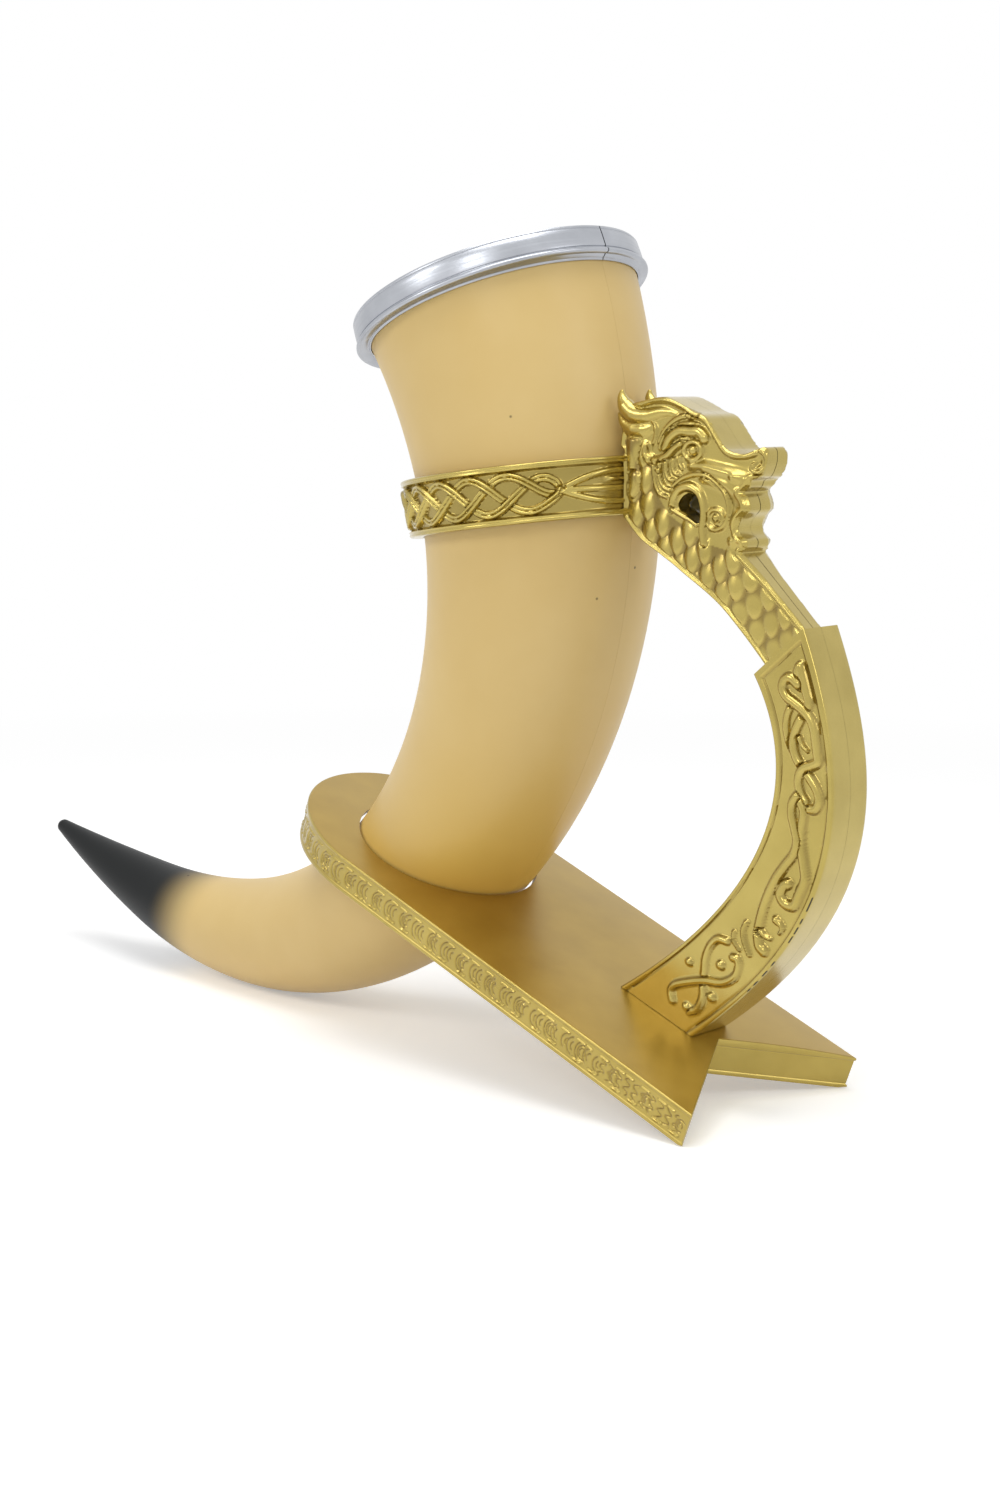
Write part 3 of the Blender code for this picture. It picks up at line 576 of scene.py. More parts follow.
# %% Spray the tip
TIP_POINT = horn_point(HORN_LENGTH)[0]
INK_CLEAR_FROM_TIP = 88.0
INK_SOLID_FROM_TIP = 62.0
PLATE_TILT = math.radians(20.6)
PLATE_ALONG, PLATE_UP = towards(-PLATE_TILT), towards(math.pi / 2 - PLATE_TILT)
NOTCH = np.array([122.97, 15.81])
REFLECTION_ROUND, REFLECTION_ROUND_MM = 0.8, 8.0
REFLECTION_UNDER, REFLECTION_UNDER_MM = 0.95, 40.0
REFLECTION_SIDES = (-15.0, 18.0)
REFLECTION_BELOW_MM = 16.0


def plate_reflection_tint(flat):
    """Painted reflection of the gold plate: all round just over the plate, higher up on the underside."""
    above = (flat - NOTCH) @ PLATE_UP
    under = smoothstep(*REFLECTION_SIDES, np.hypot(*(flat - BEND).T) - BEND_RADIUS)
    low = REFLECTION_ROUND * hump(above, 0, REFLECTION_ROUND_MM)
    high = REFLECTION_UNDER * under * hump(above, 0, REFLECTION_UNDER_MM)
    return np.maximum(low, high) * smoothstep(-REFLECTION_BELOW_MM, 0, above)


for half in (horn_left, horn_right):
    flat = read_points(half)[:, [0, 2]] / MM
    from_tip = np.hypot(*(flat - TIP_POINT).T)
    paint(half, "ink", 1 - smoothstep(INK_SOLID_FROM_TIP, INK_CLEAR_FROM_TIP, from_tip))
    # Painted reflection of the gold plate on the cream.
    paint(half, "amber", plate_reflection_tint(flat))
finish_piece(horn_left, "horn", CREAM, ["horn_left_half"])
finish_piece(horn_right, "horn", CREAM, ["horn_right_half"])

# %% [markdown]
# ## The rim
# The real rim is a turned ring with a fine line under its top edge, a flat band, a groove, a bead,
# and a thin lip against the horn. The Spin tool or a Screw modifier could turn its profile. A grid
# does the same and can follow the horn, whose flare is not quite a cone, along the inner side. Its
# two ends meet in a butt joint on the handle's side.

# %% Turn the rim
RIM_PROFILE = [
    (36.1, 0.0), (39.3, 0.0), (39.75, -0.15), (39.95, -0.45), (40.0, -0.8), (39.88, -0.95),
    (40.0, -1.1), (40.1, -2.6), (40.15, -4.3), (40.18, -5.55), (40.15, -5.8), (39.95, -5.95),
    (39.95, -6.1), (40.25, -6.25), (40.55, -6.45), (40.75, -6.7), (40.8, -7.0), (40.72, -7.3),
    (40.45, -7.55), (39.95, -7.7), (39.3, -7.65),
]
RIM_SEAT = [
    (1.0, -7.55), (0.7, -7.65), (0.6, -7.95), (0.45, -8.1), (0.25, -8.1), (0.15, -7.9), (0.3, -1.3),
    (0.3, -1.2),
]
RIM_LIP = [(35.7, -1.2), (35.7, -0.35)]
RIM_OVER = 1.5
RIM_RADIUS, RIM_SEAT_RADIUS = 40.0, 38.0
RIM_COLUMNS = 288
RIM_JOINT_GAP = 0.35

# Ring of one profile, with a butt joint at turn 0.
lip, tilt, _ = horn_section(0)
axis = towards(tilt + math.pi / 2)
profile = RIM_PROFILE + RIM_SEAT + RIM_LIP + RIM_PROFILE[:1]
seat = range(len(RIM_PROFILE), len(RIM_PROFILE) + len(RIM_SEAT))
half_gap = RIM_JOINT_GAP / 2 / RIM_RADIUS
turns = np.linspace(half_gap, 2 * math.pi - half_gap, RIM_COLUMNS + 1)
lines, heights = [], []
for index, (size, depth) in enumerate(profile):
    centre, turned, skin = lip + axis * (RIM_OVER + depth), tilt, 0
    if index in seat:
        centre, turned, skin = horn_section(max(-depth - RIM_OVER, 0))
    lines.append(ring(centre, turned, skin + size, turns))
    heights.append(depth + size + (RIM_SEAT_RADIUS if index in seat else 0))
rim, order = lay_grid("rim_turned", np.stack(lines))
paint(rim, "height", np.repeat(heights, len(turns))[order])
weld(rim)
fill_open(rim)
finish_piece(rim, "horn", SILVER, ["rim_ring"], 35.0)

# %% [markdown]
# ## The collar
# The collar is a ring with raised borders, and between them a plait of three strands. Towards the
# dragon the plait ends in a round loop, and three lines and a short one run on from it. The strands
# could be curve objects bent round the ring, but they would be loose and would have to be joined to
# it. Here each strand is a wave round the ring, and it also rises and falls, so that it passes over
# one neighbour and under the next.

# %% Collar sizes
COLLAR_ANGLE_DEG = 5.0
COLLAR_TILT = math.radians(7.5)
COLLAR_HEIGHT = 15.1
COLLAR_CLEARANCE = 0.6
COLLAR_WALL = 2.4
COLLAR_S = MOUTH_RUN_LENGTH + math.radians(BEND_TOP_DEG - COLLAR_ANGLE_DEG) * BEND_RADIUS
COLLAR_CENTRE = horn_point(COLLAR_S)[0]
COLLAR_OUT = towards(COLLAR_TILT)
COLLAR_AXIS = towards(COLLAR_TILT + math.pi / 2)
COLLAR_BACK = COLLAR_CENTRE + COLLAR_OUT * (horn_radius(COLLAR_S) + COLLAR_CLEARANCE + COLLAR_WALL)
print("collar's back is at", np.round(COLLAR_BACK, 1))

# %% Run the strands of the plait
PLAIT_SWING = 4.6
PLAIT_TURNS = 8.0
PLAIT_HALF_WIDTH = 1.05
COLLAR_ROUND = 37.0
FAN_START_DEG, FAN_MEET_DEG = 12.0, 39.0
FAN_LANES = (4.1, -0.4, -3.8)
FAN_SINK = 0.4
LOOP_DEG = 13.0
LOOP_PHASE = math.radians(-20)
OVER_UNDER = 0.3
STEEPEST = 1.6


def plait_strands(around, heights, woven):
    """For each strand, how many half widths away it is and how high it rides, at every point."""
    table = np.linspace(0, math.pi, 4001)
    past = np.degrees(table) - FAN_MEET_DEG
    fans = 1 - np.clip(past / (FAN_MEET_DEG - FAN_START_DEG) + 1, 0, 1) ** 2
    swings = PLAIT_SWING * dome(1 - np.clip(past / LOOP_DEG, 0, 1))
    late = np.maximum(past, 0) ** 2 / (np.maximum(past, 0) + LOOP_DEG)
    loop = np.abs(past) < LOOP_DEG + 3
    near = np.abs(np.degrees(around) - FAN_MEET_DEG) < LOOP_DEG
    strands = []
    for strand, lane in enumerate(FAN_LANES):
        phases = PLAIT_TURNS * np.radians(late) + strand * 2 * math.pi / 3 + LOOP_PHASE
        run = swings * np.sin(phases) + lane * fans
        steep = np.minimum(np.sqrt(1 + (np.gradient(run, table) / COLLAR_ROUND) ** 2), STEEPEST)
        gap = np.abs(heights - np.interp(around, table, run)) / np.interp(around, table, steep)
        line = np.stack([COLLAR_ROUND * table, run], 1)[loop][::4]
        gap[near] = distance_to(np.stack([COLLAR_ROUND * around, heights], 1)[near], line)[0]
        weave = OVER_UNDER * np.sin(2 * np.interp(around, table, phases)) * woven
        lift = 1 + weave - FAN_SINK * np.interp(around, table, fans)
        strands.append((gap / PLAIT_HALF_WIDTH, lift))
    return strands


print("plait of", len(FAN_LANES), "strands")

# %% Raise the strands
PLAIT_PROUD = 1.3
WEAVE_DEG = (36.99, 40.0)
SHORT_LANE, SHORT_LANE_END_DEG = 1.9, (20.0, 15.0)
SHORT_PROUD, SHORT_NARROWER, SHORT_ROUND = 0.7, 1.6, 0.65
LINE_WIDTH = 0.8
CORD_AT, CORD_WIDTH = 0.5, 0.55
PASS_UNDER = (1.35, 1.05)


def plait_height(turns, heights):
    """How far the plait stands out of the collar's face: single lines, then strands of two cords."""
    around = np.abs((turns + math.pi) % (2 * math.pi) - math.pi)
    degrees = np.degrees(around)
    woven = smoothstep(*WEAVE_DEG, degrees)
    strands = plait_strands(around, heights, woven)
    from_lane = SHORT_NARROWER * np.abs(heights - SHORT_LANE) / PLAIT_HALF_WIDTH
    short = SHORT_PROUD * np.clip(1 - from_lane, 0, 1) ** SHORT_ROUND
    field = PLAIT_PROUD * short * smoothstep(*SHORT_LANE_END_DEG, degrees)
    for gap, lift in strands:
        single = LINE_WIDTH * dome(gap / LINE_WIDTH)
        double = dome((gap - CORD_AT) / CORD_WIDTH) * (gap < CORD_AT + CORD_WIDTH)
        height = PLAIT_PROUD * lift * (single + (double - single) * woven)
        for other_gap, other_lift in strands:
            height = height * (1 - (other_lift > lift) * smoothstep(*PASS_UNDER, other_gap))
        field = np.maximum(field, height)
    return field


print("plait stands out by", round(plait_height(np.linspace(1, 2, 999), np.zeros(999)).max(), 2), "mm")

# %% Carve the collar
COLLAR_COLUMNS = 720
COLLAR_ROWS = 64
COLLAR_BORDER, COLLAR_BORDER_PROUD, COLLAR_BORDER_SOFT = 1.7, 1.2, 0.3
CREASE_AT, CREASE_WIDTH, CREASE_DEPTH = 1.0, 0.22, 0.25
COLLAR_EDGE_ROUND = 0.35
COLLAR_SHADE, COLLAR_SHADE_BELOW = 0.3, 0.35

# Ring with a carved outer face, as a closed solid.
half = COLLAR_HEIGHT / 2
face = np.linspace(half, -half, COLLAR_ROWS + 1)
levels = np.concatenate([face, [-half, 0, half, half]])
outer = np.repeat([True] * len(face) + [False] * 3 + [True], COLLAR_COLUMNS + 1)
height = np.repeat(levels, COLLAR_COLUMNS + 1)
turns = np.tile(np.linspace(0, 2 * math.pi, COLLAR_COLUMNS + 1), len(levels))
from_edge = half - np.abs(height)
border = smoothstep(COLLAR_BORDER + COLLAR_BORDER_SOFT, COLLAR_BORDER - COLLAR_BORDER_SOFT, from_edge)
crease = CREASE_DEPTH * hump(from_edge, CREASE_AT, CREASE_WIDTH)
round_edge = COLLAR_EDGE_ROUND * (1 - smoothstep(0, COLLAR_EDGE_ROUND, from_edge))
plait = plait_height(turns, height) * (1 - border)
proud = np.maximum(COLLAR_BORDER_PROUD * border - crease - round_edge, plait)
radius = horn_radius(COLLAR_S - height) + COLLAR_CLEARANCE + np.where(outer, COLLAR_WALL + proud, 0)
flat = COLLAR_CENTRE + np.outer(height, COLLAR_AXIS) + np.outer(radius * np.cos(turns), COLLAR_OUT)
lines = np.insert(flat, 1, -radius * np.sin(turns), axis=1)
collar, order = lay_grid("collar_carved", lines.reshape(len(levels), -1, 3))
# Painted shade on the collar's ground, between the strands and the borders.
painted_shade = np.where(outer, 1 - smoothstep(0, COLLAR_SHADE_BELOW, proud), 0) * COLLAR_SHADE
paint(collar, "recess", painted_shade[order])
paint(collar, "chip", 0)
weld(collar)
finish_piece(collar, "stand", GOLD_CARVED, ["horn_collar"])

# %% [markdown]
# ## The dragon
# The head and neck are two cast halves, carved all over: brow, eye, jaw and ears, a raised bead
# along both edges of the neck, and three rows of scales. A sculptor would use Sculpt mode, whose
# brush strokes can't be read again later. Here a filled circle is pulled to the outline, extruded
# and cut with a mouth, and tapered tubes are joined on as ears. A voxel remesh turns all that into
# even clay, and the strokes and scales are carved into it.

# %% The dragon's outline
OUTLINE_STEP = 0.6
HEAD_HALF = 6.0
NECK_INNER_END, NECK_OUTER_END = (44.6, -44.2), (56.5, -34.2)
NECK_RUN = [NECK_INNER_END, (31.8, -30.1), (18.5, -21.4), (11.9, -17.6), (5.2, -13.9), (-0.6, -8.5)]
NAPE_RUN = [(-1.0, 8.6), (-2.1, 9.6), (-2.1, 11.4), (-1.5, 14.2), (-0.8, 17.4), (0.6, 19.8)]
SKULL_RUN = [
    (0.6, 19.8), (2.8, 20.9), (8.1, 21.9), (11.4, 22.4), (14.7, 22.2), (22.1, 19.2), (26.0, 17.8),
    (28.2, 15.6), (32.4, 10.5), (34.9, 9.1), (37.7, 8.6), (40.8, 9.7), (42.6, 10.4), (43.8, 9.5),
    (43.9, 7.1), (43.3, 5.1), (42.1, 3.1), (40.0, 2.2), (39.4, 0.7), (37.4, -0.8),
]
JAW_RUN = [
    (37.4, -0.8), (38.6, -2.7), (38.9, -5.2), (36.8, -7.3), (35.9, -9.8), (36.9, -11.5), (38.3, -12.6),
    (38.3, -14.2), (36.9, -15.7),
]
MOUTH_OUTLINE = [
    (112.3, 155.1), (113.5, 156.9), (115.5, 157.9), (117.6, 157.4), (119.0, 156.0), (119.3, 153.2),
    (119.1, 150.7), (117.2, 151.5), (114.9, 152.9), (112.8, 153.9),
]


def dragon_outline():
    """Closed outline of the head and neck in the middle plane."""
    runs = (NECK_RUN, NAPE_RUN, SKULL_RUN, JAW_RUN)
    neck, nape, skull, jaw = (smooth_run(run, OUTLINE_STEP) for run in runs)
    return COLLAR_BACK + np.vstack([neck, nape, skull[1:], jaw[1:], [NECK_OUTER_END]])


print("dragon outline has", len(dragon_outline()), "points")

# %% The strokes of the face
HEAD_STROKES = [
    ("soft jaw bulge", 1.2, 1.9, 1.1, [(121.2, 162.4), (125.3, 161.4), (128.9, 160.1), (131.8, 157.7),
     (133.0, 154.8), (131.7, 151.7)]),
    ("soft lip roll", 0.9, 1.1, 0.75, [(130.4, 162.0), (134.0, 160.6), (137.9, 160.3), (141.2, 160.9)]),
    ("brow line", 0.35, 0.6, 0.45, [(106.0, 170.7), (108.3, 174.0), (112.0, 176.5), (116.4, 177.6)]),
    ("brow bead", 0.9, 0.95, 1.0, [(115.9, 177.6), (120.0, 177.2), (122.8, 175.2), (125.1, 172.1),
     (127.4, 169.3), (130.1, 168.0), (133.6, 168.1), (136.7, 169.2)]),
    ("crest bead", 0.95, 0.5, 0.9, [(98.3, 179.7), (103.8, 181.2), (109.4, 181.2), (113.6, 179.9),
     (116.6, 178.2), (118.6, 177.5)]),
    ("brow outer", 0.65, 0.75, 0.85, [(106.8, 169.3), (108.6, 172.2), (111.8, 174.2), (115.9, 175.1),
     (118.7, 174.6)]),
    ("brow inner", 0.5, 0.5, 0.65, [(109.8, 168.6), (111.4, 170.5), (113.9, 171.7), (116.5, 172.0)]),
    ("brow middle", 0.85, 1.2, 1.15, [(108.4, 169.0), (109.8, 171.5), (112.7, 173.3), (116.4, 173.3),
     (119.2, 173.2), (120.9, 171.8)]),
    ("eye ring", 0.55, 0.55, 0.75, [(120.0, 168.7), (119.2, 167.1), (117.2, 166.4), (115.2, 167.0),
     (114.3, 168.6), (115.2, 170.1), (117.2, 170.8), (119.2, 170.2), (120.0, 168.7)]),
    ("pupil", 0.95, 0.95, 0.85, [(117.1, 168.7), (117.3, 168.7)]),
    ("cheek hook", 1.05, 0.6, 1.15, [(102.9, 166.2), (105.6, 165.8), (108.7, 167.0), (111.4, 169.0),
     (113.5, 170.2)]),
    ("cheek hook", 0.4, 1.05, 1.15, [(102.4, 169.8), (101.9, 167.8), (102.9, 166.2)]),
    ("cheek line", 0.45, 0.35, 0.45, [(104.2, 164.6), (104.7, 161.0), (106.2, 157.8), (108.8, 156.8)]),
    ("cheek curl", 0.6, 0.4, 0.85, [(106.6, 165.0), (106.6, 162.1), (107.8, 159.6), (109.9, 158.6)]),
    ("cheek curl", 0.6, 0.4, 0.85, [(108.7, 165.4), (108.7, 163.3), (109.7, 161.5), (111.1, 161.0)]),
    ("cheek curl", 0.55, 0.35, 0.7, [(111.0, 166.2), (110.8, 164.4), (111.5, 163.0), (112.7, 162.6)]),
    ("cheek curl", 0.5, 0.35, 0.6, [(113.1, 166.9), (112.9, 165.5), (113.8, 164.1)]),
    ("cheek pellet", 0.6, 0.6, 0.5, [(105.7, 163.4), (105.9, 163.4)]),
    ("soft lip ridge", 0.8, 1.1, 1.1, [(116.9, 164.9), (121.1, 164.8), (125.7, 164.0), (130.2, 163.1),
     (134.4, 162.4), (136.6, 163.4)]),
    ("nostril", 0.5, 0.5, -0.5, [(136.4, 165.8), (136.6, 165.8)]),
    ("nostril curl", 0.55, 0.35, 0.7, [(136.9, 169.1), (138.5, 167.8), (138.7, 165.7), (137.6, 164.0),
     (135.7, 163.6), (134.6, 164.6), (135.3, 165.6)]),
    ("jaw line", 0.45, 0.45, 0.6, [(111.0, 159.7), (113.8, 161.6), (117.5, 162.7), (121.2, 162.6),
     (124.1, 161.3), (127.1, 158.8), (128.5, 155.8), (128.5, 152.8), (127.0, 150.1), (124.3, 149.2),
     (122.3, 150.3), (121.9, 152.4), (123.5, 154.0), (125.8, 153.9), (127.1, 152.4), (126.3, 150.7),
     (124.8, 150.9)]),
    ("jaw boss", 0.7, 0.7, 0.45, [(124.5, 152.2), (124.7, 152.2)]),
    ("mouth rim", 0.9, 0.8, 0.9, [(110.6, 153.8), (111.1, 156.7), (113.0, 158.9), (116.2, 159.6),
     (119.2, 158.2), (120.6, 155.6), (120.9, 152.6), (120.5, 149.0), (121.0, 145.8)]),
    ("lower lip", 0.5, 0.4, 0.6, [(110.7, 153.8), (114.0, 152.3), (116.8, 151.2), (118.6, 150.0)]),
    ("soft chin roll", 1.0, 0.8, 0.8, [(129.8, 146.5), (133.8, 147.0), (137.3, 147.6)]),
    ("lobe tail", 0.5, 0.3, 0.5, [(103.9, 175.4), (105.0, 173.9), (104.9, 171.8), (104.2, 170.3)]),
    ("nape scale", 1.9, 1.3, 0.9, [(97.6, 170.2), (97.5, 167.3), (97.3, 164.4)]),
    ("nape scale", 1.7, 1.0, 0.8, [(98.1, 161.2), (97.9, 159.0), (97.4, 157.5)]),
    ("collar bead", 0.35, 0.35, 0.5, [(94.6, 166.9), (95.0, 160.7), (94.8, 153.4)]),
]
print(len(HEAD_STROKES), "strokes for the face")

# %% Scales of the neck
SCALE_FIRST = np.array([140.6, 127.1])
SCALE_ALONG = np.array([4.9, -4.3])
SCALE_ACROSS = np.array([-4.0, -2.3])
SCALE_HALF_WIDTH, SCALE_HALF_LENGTH = 2.75, 4.3
SCALE_PROUD = 1.9
SCALE_TAPER, SCALE_TIP_SHARE = 0.35, 0.38
SCALE_PATCH = [
    (93.5, 171.0), (99.5, 171.5), (101.5, 166.0), (104.4, 163.5), (105.0, 158.0), (109.0, 152.5),
    (116.5, 148.5), (121.5, 145.5), (132.0, 143.5), (153.5, 124.5), (141.0, 112.0), (134.5, 119.5),
    (126.0, 128.5), (110.0, 139.5), (99.5, 146.0), (94.3, 151.0),
]


def scale_height(points):
    """Rows of overlapping leaf scales, each highest near its lower tip."""
    field = np.zeros(len(points))
    along, across = (grid.reshape(-1, 1) for grid in np.mgrid[-12:6, -6:7])
    lattice = SCALE_FIRST + along * SCALE_ALONG + across * SCALE_ACROSS
    for centre in lattice[inside(lattice, np.array(SCALE_PATCH))]:
        x, z = (points - centre).T
        down = -z / SCALE_HALF_LENGTH
        lower = np.clip(down, -1, 1)
        width = SCALE_HALF_WIDTH * np.sqrt(1 - SCALE_TAPER * lower)
        leaf = np.sqrt(np.clip(1 - (x / width) ** 2 - down ** 2, 0, 1))
        field = np.maximum(field, leaf * SCALE_PROUD * (1 - SCALE_TIP_SHARE + SCALE_TIP_SHARE * lower))
    return field


print("scales stand out by", SCALE_PROUD, "mm")

# %% Helpers for the dragon's block
EAR_COLUMNS = 20
FINE_STEP = 0.5
EAR_FLATTER = 0.9
EARS = [
    (5.5, [(93.2, 183.8), (93.2, 181.9), (94.4, 179.6), (97.2, 177.5), (101.6, 177.1), (106.8, 178.1),
     (111.4, 177.6)],
     [0.4, 1.35, 2.3, 2.45, 1.95, 1.2, 0.35]),
    (5.1, [(92.1, 178.0), (93.7, 175.4), (96.9, 173.7), (100.3, 173.5), (103.3, 174.3)],
     [0.7, 1.5, 2.0, 2.0, 1.2]),
]


def make_prism(name, outline, low, high):
    """A filled circle pulled to an outline and extruded from y = low to y = high."""
    bpy.ops.object.select_all(action="DESELECT")
    bpy.ops.mesh.primitive_circle_add(vertices=len(outline), radius=1, fill_type="NGON")
    piece = bpy.context.object
    piece.name = piece.data.name = name
    write_points(piece, np.insert(outline, 1, high, axis=1) * MM)
    move = {"value": (0, (low - high) * MM, 0)}
    edit(piece, bpy.ops.mesh.extrude_region_move, TRANSFORM_OT_translate=move)
    turn_out(piece)
    return piece


def ear_run(points, radii):
    """Smooth run of an ear and the radius at each of its points."""
    run = smooth_run(points, FINE_STEP)
    length = np.concatenate([[0], np.cumsum(np.hypot(*np.diff(run, axis=0).T))])
    marks = [length[np.argmin(np.hypot(*(run - p).T))] for p in np.array(points)]
    return run, np.interp(length, marks, radii)


def make_ear(side, depth, points, radii):
    """One form of the crescent ear: a tapered tube along its run, on one side of the head."""
    run, sizes = ear_run(points, radii)
    ahead = np.gradient(run, axis=0)
    ahead = ahead / np.hypot(*ahead.T)[:, None]
    run, ahead = (np.vstack([rows[:1], rows, rows[-1:]]) for rows in (run, ahead))
    sizes = np.concatenate([[0], sizes, [0]])
    turn = np.linspace(0, 2 * math.pi, EAR_COLUMNS + 1)
    across = np.outer(sizes, np.cos(turn))
    y = side * depth + EAR_FLATTER * np.outer(sizes, np.sin(turn))
    lines = np.stack([run[:, :1] - ahead[:, 1:] * across, y, run[:, 1:] + ahead[:, :1] * across], 2)
    ear, _ = lay_grid("ear", lines)
    weld(ear)
    turn_out(ear)
    return ear


print(len(EARS), "forms for each ear")

# %% Make the dragon's block
VOXEL = 0.3
MOUTH_DEPTH, MOUTH_CUT_FROM = 4.8, 9.0

# Head and neck in one: the prism with a mouth cut in each side and two ears, as even clay.
dragon_left = make_prism("dragon_left_cast", dragon_outline(), -HEAD_HALF, HEAD_HALF)
hole = smooth_run(MOUTH_OUTLINE + MOUTH_OUTLINE[:1], FINE_STEP)[:-1]
ears = []
for side in (-1, 1):
    ends = sorted((side * MOUTH_CUT_FROM, side * (HEAD_HALF - MOUTH_DEPTH)))
    mouth = make_prism("mouth_cutter", hole, *ends)
    apply_modifier(dragon_left, "BOOLEAN", operation="DIFFERENCE", object=mouth, solver="EXACT")
    bpy.data.objects.remove(mouth)
    ears += [make_ear(side, *form) for form in EARS]
make_active(dragon_left)
for ear in ears:
    ear.select_set(True)
bpy.ops.object.join()
apply_modifier(dragon_left, "REMESH", mode="VOXEL", voxel_size=VOXEL * MM)
apply_modifier(dragon_left, "SMOOTH", factor=0.5, iterations=2)
print("dragon block has", len(dragon_left.data.vertices), "points")

# %% Work out the dragon's relief
HEAD_FATTER = 1.3
EDGE_BEAD, EDGE_BEAD_AT, EDGE_BEAD_WIDTH = 0.5, 0.9, 0.6
NECK_BEAD, NECK_BEAD_AT, NECK_BEAD_WIDTH = 0.95, 0.75, 0.5
SCALE_SINK, GROUND_SINK = 0.35, 0.3
EDGE_FALL, EDGE_FALL_WIDTH = 0.5, 0.7
SKULL_Z = (158.0, 162.0)
SCALES_FROM_NECK, STROKES_FROM_EDGE, STROKES_FROM_EAR = (1.2, 2.0), (0.2, 0.8), (-0.2, 0.4)
GAP_HEIGHTS, NO_BEAD = (0.45, 0.95), 0.1
GROOVE_SHADE, SCALE_GAP_SHADE = 0.22, 0.6

# Height of the carving on the dragon's face, and the painted shade in its grooves and between its scales.
flat = read_points(dragon_left)[:, [0, 2]] / MM
outline = dragon_outline()
to_edge, _ = distance_to(flat, np.vstack([outline, outline[:1]]))
within = inside(flat, outline)
borders = (smooth_run(NECK_RUN, OUTLINE_STEP), np.array([JAW_RUN[-1], NECK_OUTER_END]))
to_neck = np.minimum(*[distance_to(flat, COLLAR_BACK + run)[0] for run in borders])
scales = scale_height(flat) * smoothstep(*SCALES_FROM_NECK, to_neck)
bead = within * np.maximum(EDGE_BEAD * hump(to_edge, EDGE_BEAD_AT, EDGE_BEAD_WIDTH),
                           NECK_BEAD * hump(to_neck, NECK_BEAD_AT, NECK_BEAD_WIDTH))
ground = np.maximum(scales - SCALE_SINK, bead) - GROUND_SINK
relief, groove = carve(flat, scaled_strokes(HEAD_STROKES, HEAD_FATTER, HEAD_FATTER), ground.copy())
clear = np.maximum(smoothstep(*STROKES_FROM_EDGE, to_edge), smoothstep(*SKULL_Z, flat[:, 1]))
relief = ground + (relief - ground) * clear
relief -= EDGE_FALL * (1 - smoothstep(0, EDGE_FALL_WIDTH, to_edge)) * within
gaps = (1 - smoothstep(*GAP_HEIGHTS, scales)) * (bead < NO_BEAD)
gaps = gaps * inside(flat, np.array(SCALE_PATCH))
for _, points, radii in EARS:
    run, sizes = ear_run(points, radii)
    gap, along = distance_to(flat, run)
    ear = np.interp(along, np.linspace(0, 1, len(run)), sizes)
    off_ear = smoothstep(*STROKES_FROM_EAR, gap - ear)
    relief, groove = relief * off_ear, groove * off_ear
# Painted shade beside the strokes and in the gaps between the scales.
painted_shade = np.maximum(groove * clear * GROOVE_SHADE, gaps * SCALE_GAP_SHADE)
print("dragon's relief from", round(relief.min(), 2), "to", round(relief.max(), 2), "mm")

# %% Carve the dragon
FACE_DEPTHS = (HEAD_HALF - 1.5, HEAD_HALF - 0.5)
MUZZLE_SLIMMER, MUZZLE_X = 0.32, (127.0, 140.0)
NECK_SLIMMER, NECK_Z = 0.08, (136.0, 128.0)
PIT_DEPTH, PIT_SHADE = 1.2, 0.9

# Carve the block's left face, slim its muzzle and neck, and cut it in two at the middle plane.
points = read_points(dragon_left) / MM
front = smoothstep(*FACE_DEPTHS, -points[:, 1])
points[:, 1] -= relief * front
points[:, 1] *= 1 - MUZZLE_SLIMMER * smoothstep(*MUZZLE_X, points[:, 0])
points[:, 1] *= 1 - NECK_SLIMMER * smoothstep(*NECK_Z, points[:, 2])
write_points(dragon_left, points * MM)
in_mouth = inside(points[:, [0, 2]], np.array(MOUTH_OUTLINE))
paint(dragon_left, "recess", painted_shade * front)
# Painted shade: the deep part of the mouth pocket gets the dark bare-plastic colour.
paint(dragon_left, "chip", PIT_SHADE * (in_mouth & (np.abs(points[:, 1]) < HEAD_HALF - PIT_DEPTH)))
edit(dragon_left, bpy.ops.mesh.bisect, plane_co=(0, -SEAM_GAP / 2 * MM, 0), plane_no=(0, 1, 0),
     clear_outer=True, use_fill=True)
dragon_right = mirrored(dragon_left, "dragon_right_cast")
finish_piece(dragon_left, "stand", GOLD_CARVED, ["dragon_left_half"], 80.0)
finish_piece(dragon_right, "stand", GOLD_CARVED, ["dragon_right_half"], 80.0)

# %% [markdown]
# ## The arm
# The arm is cast in two halves like the dragon, with raised borders along its edges and across the
# shoulder, and strands with leaves and pellets between them. It could be a curve object with a taper,
# but its two edges bend differently. So each half is a grid laid between two edge curves: from the
# middle plane over the inner edge, across the carved face and over the outer edge.

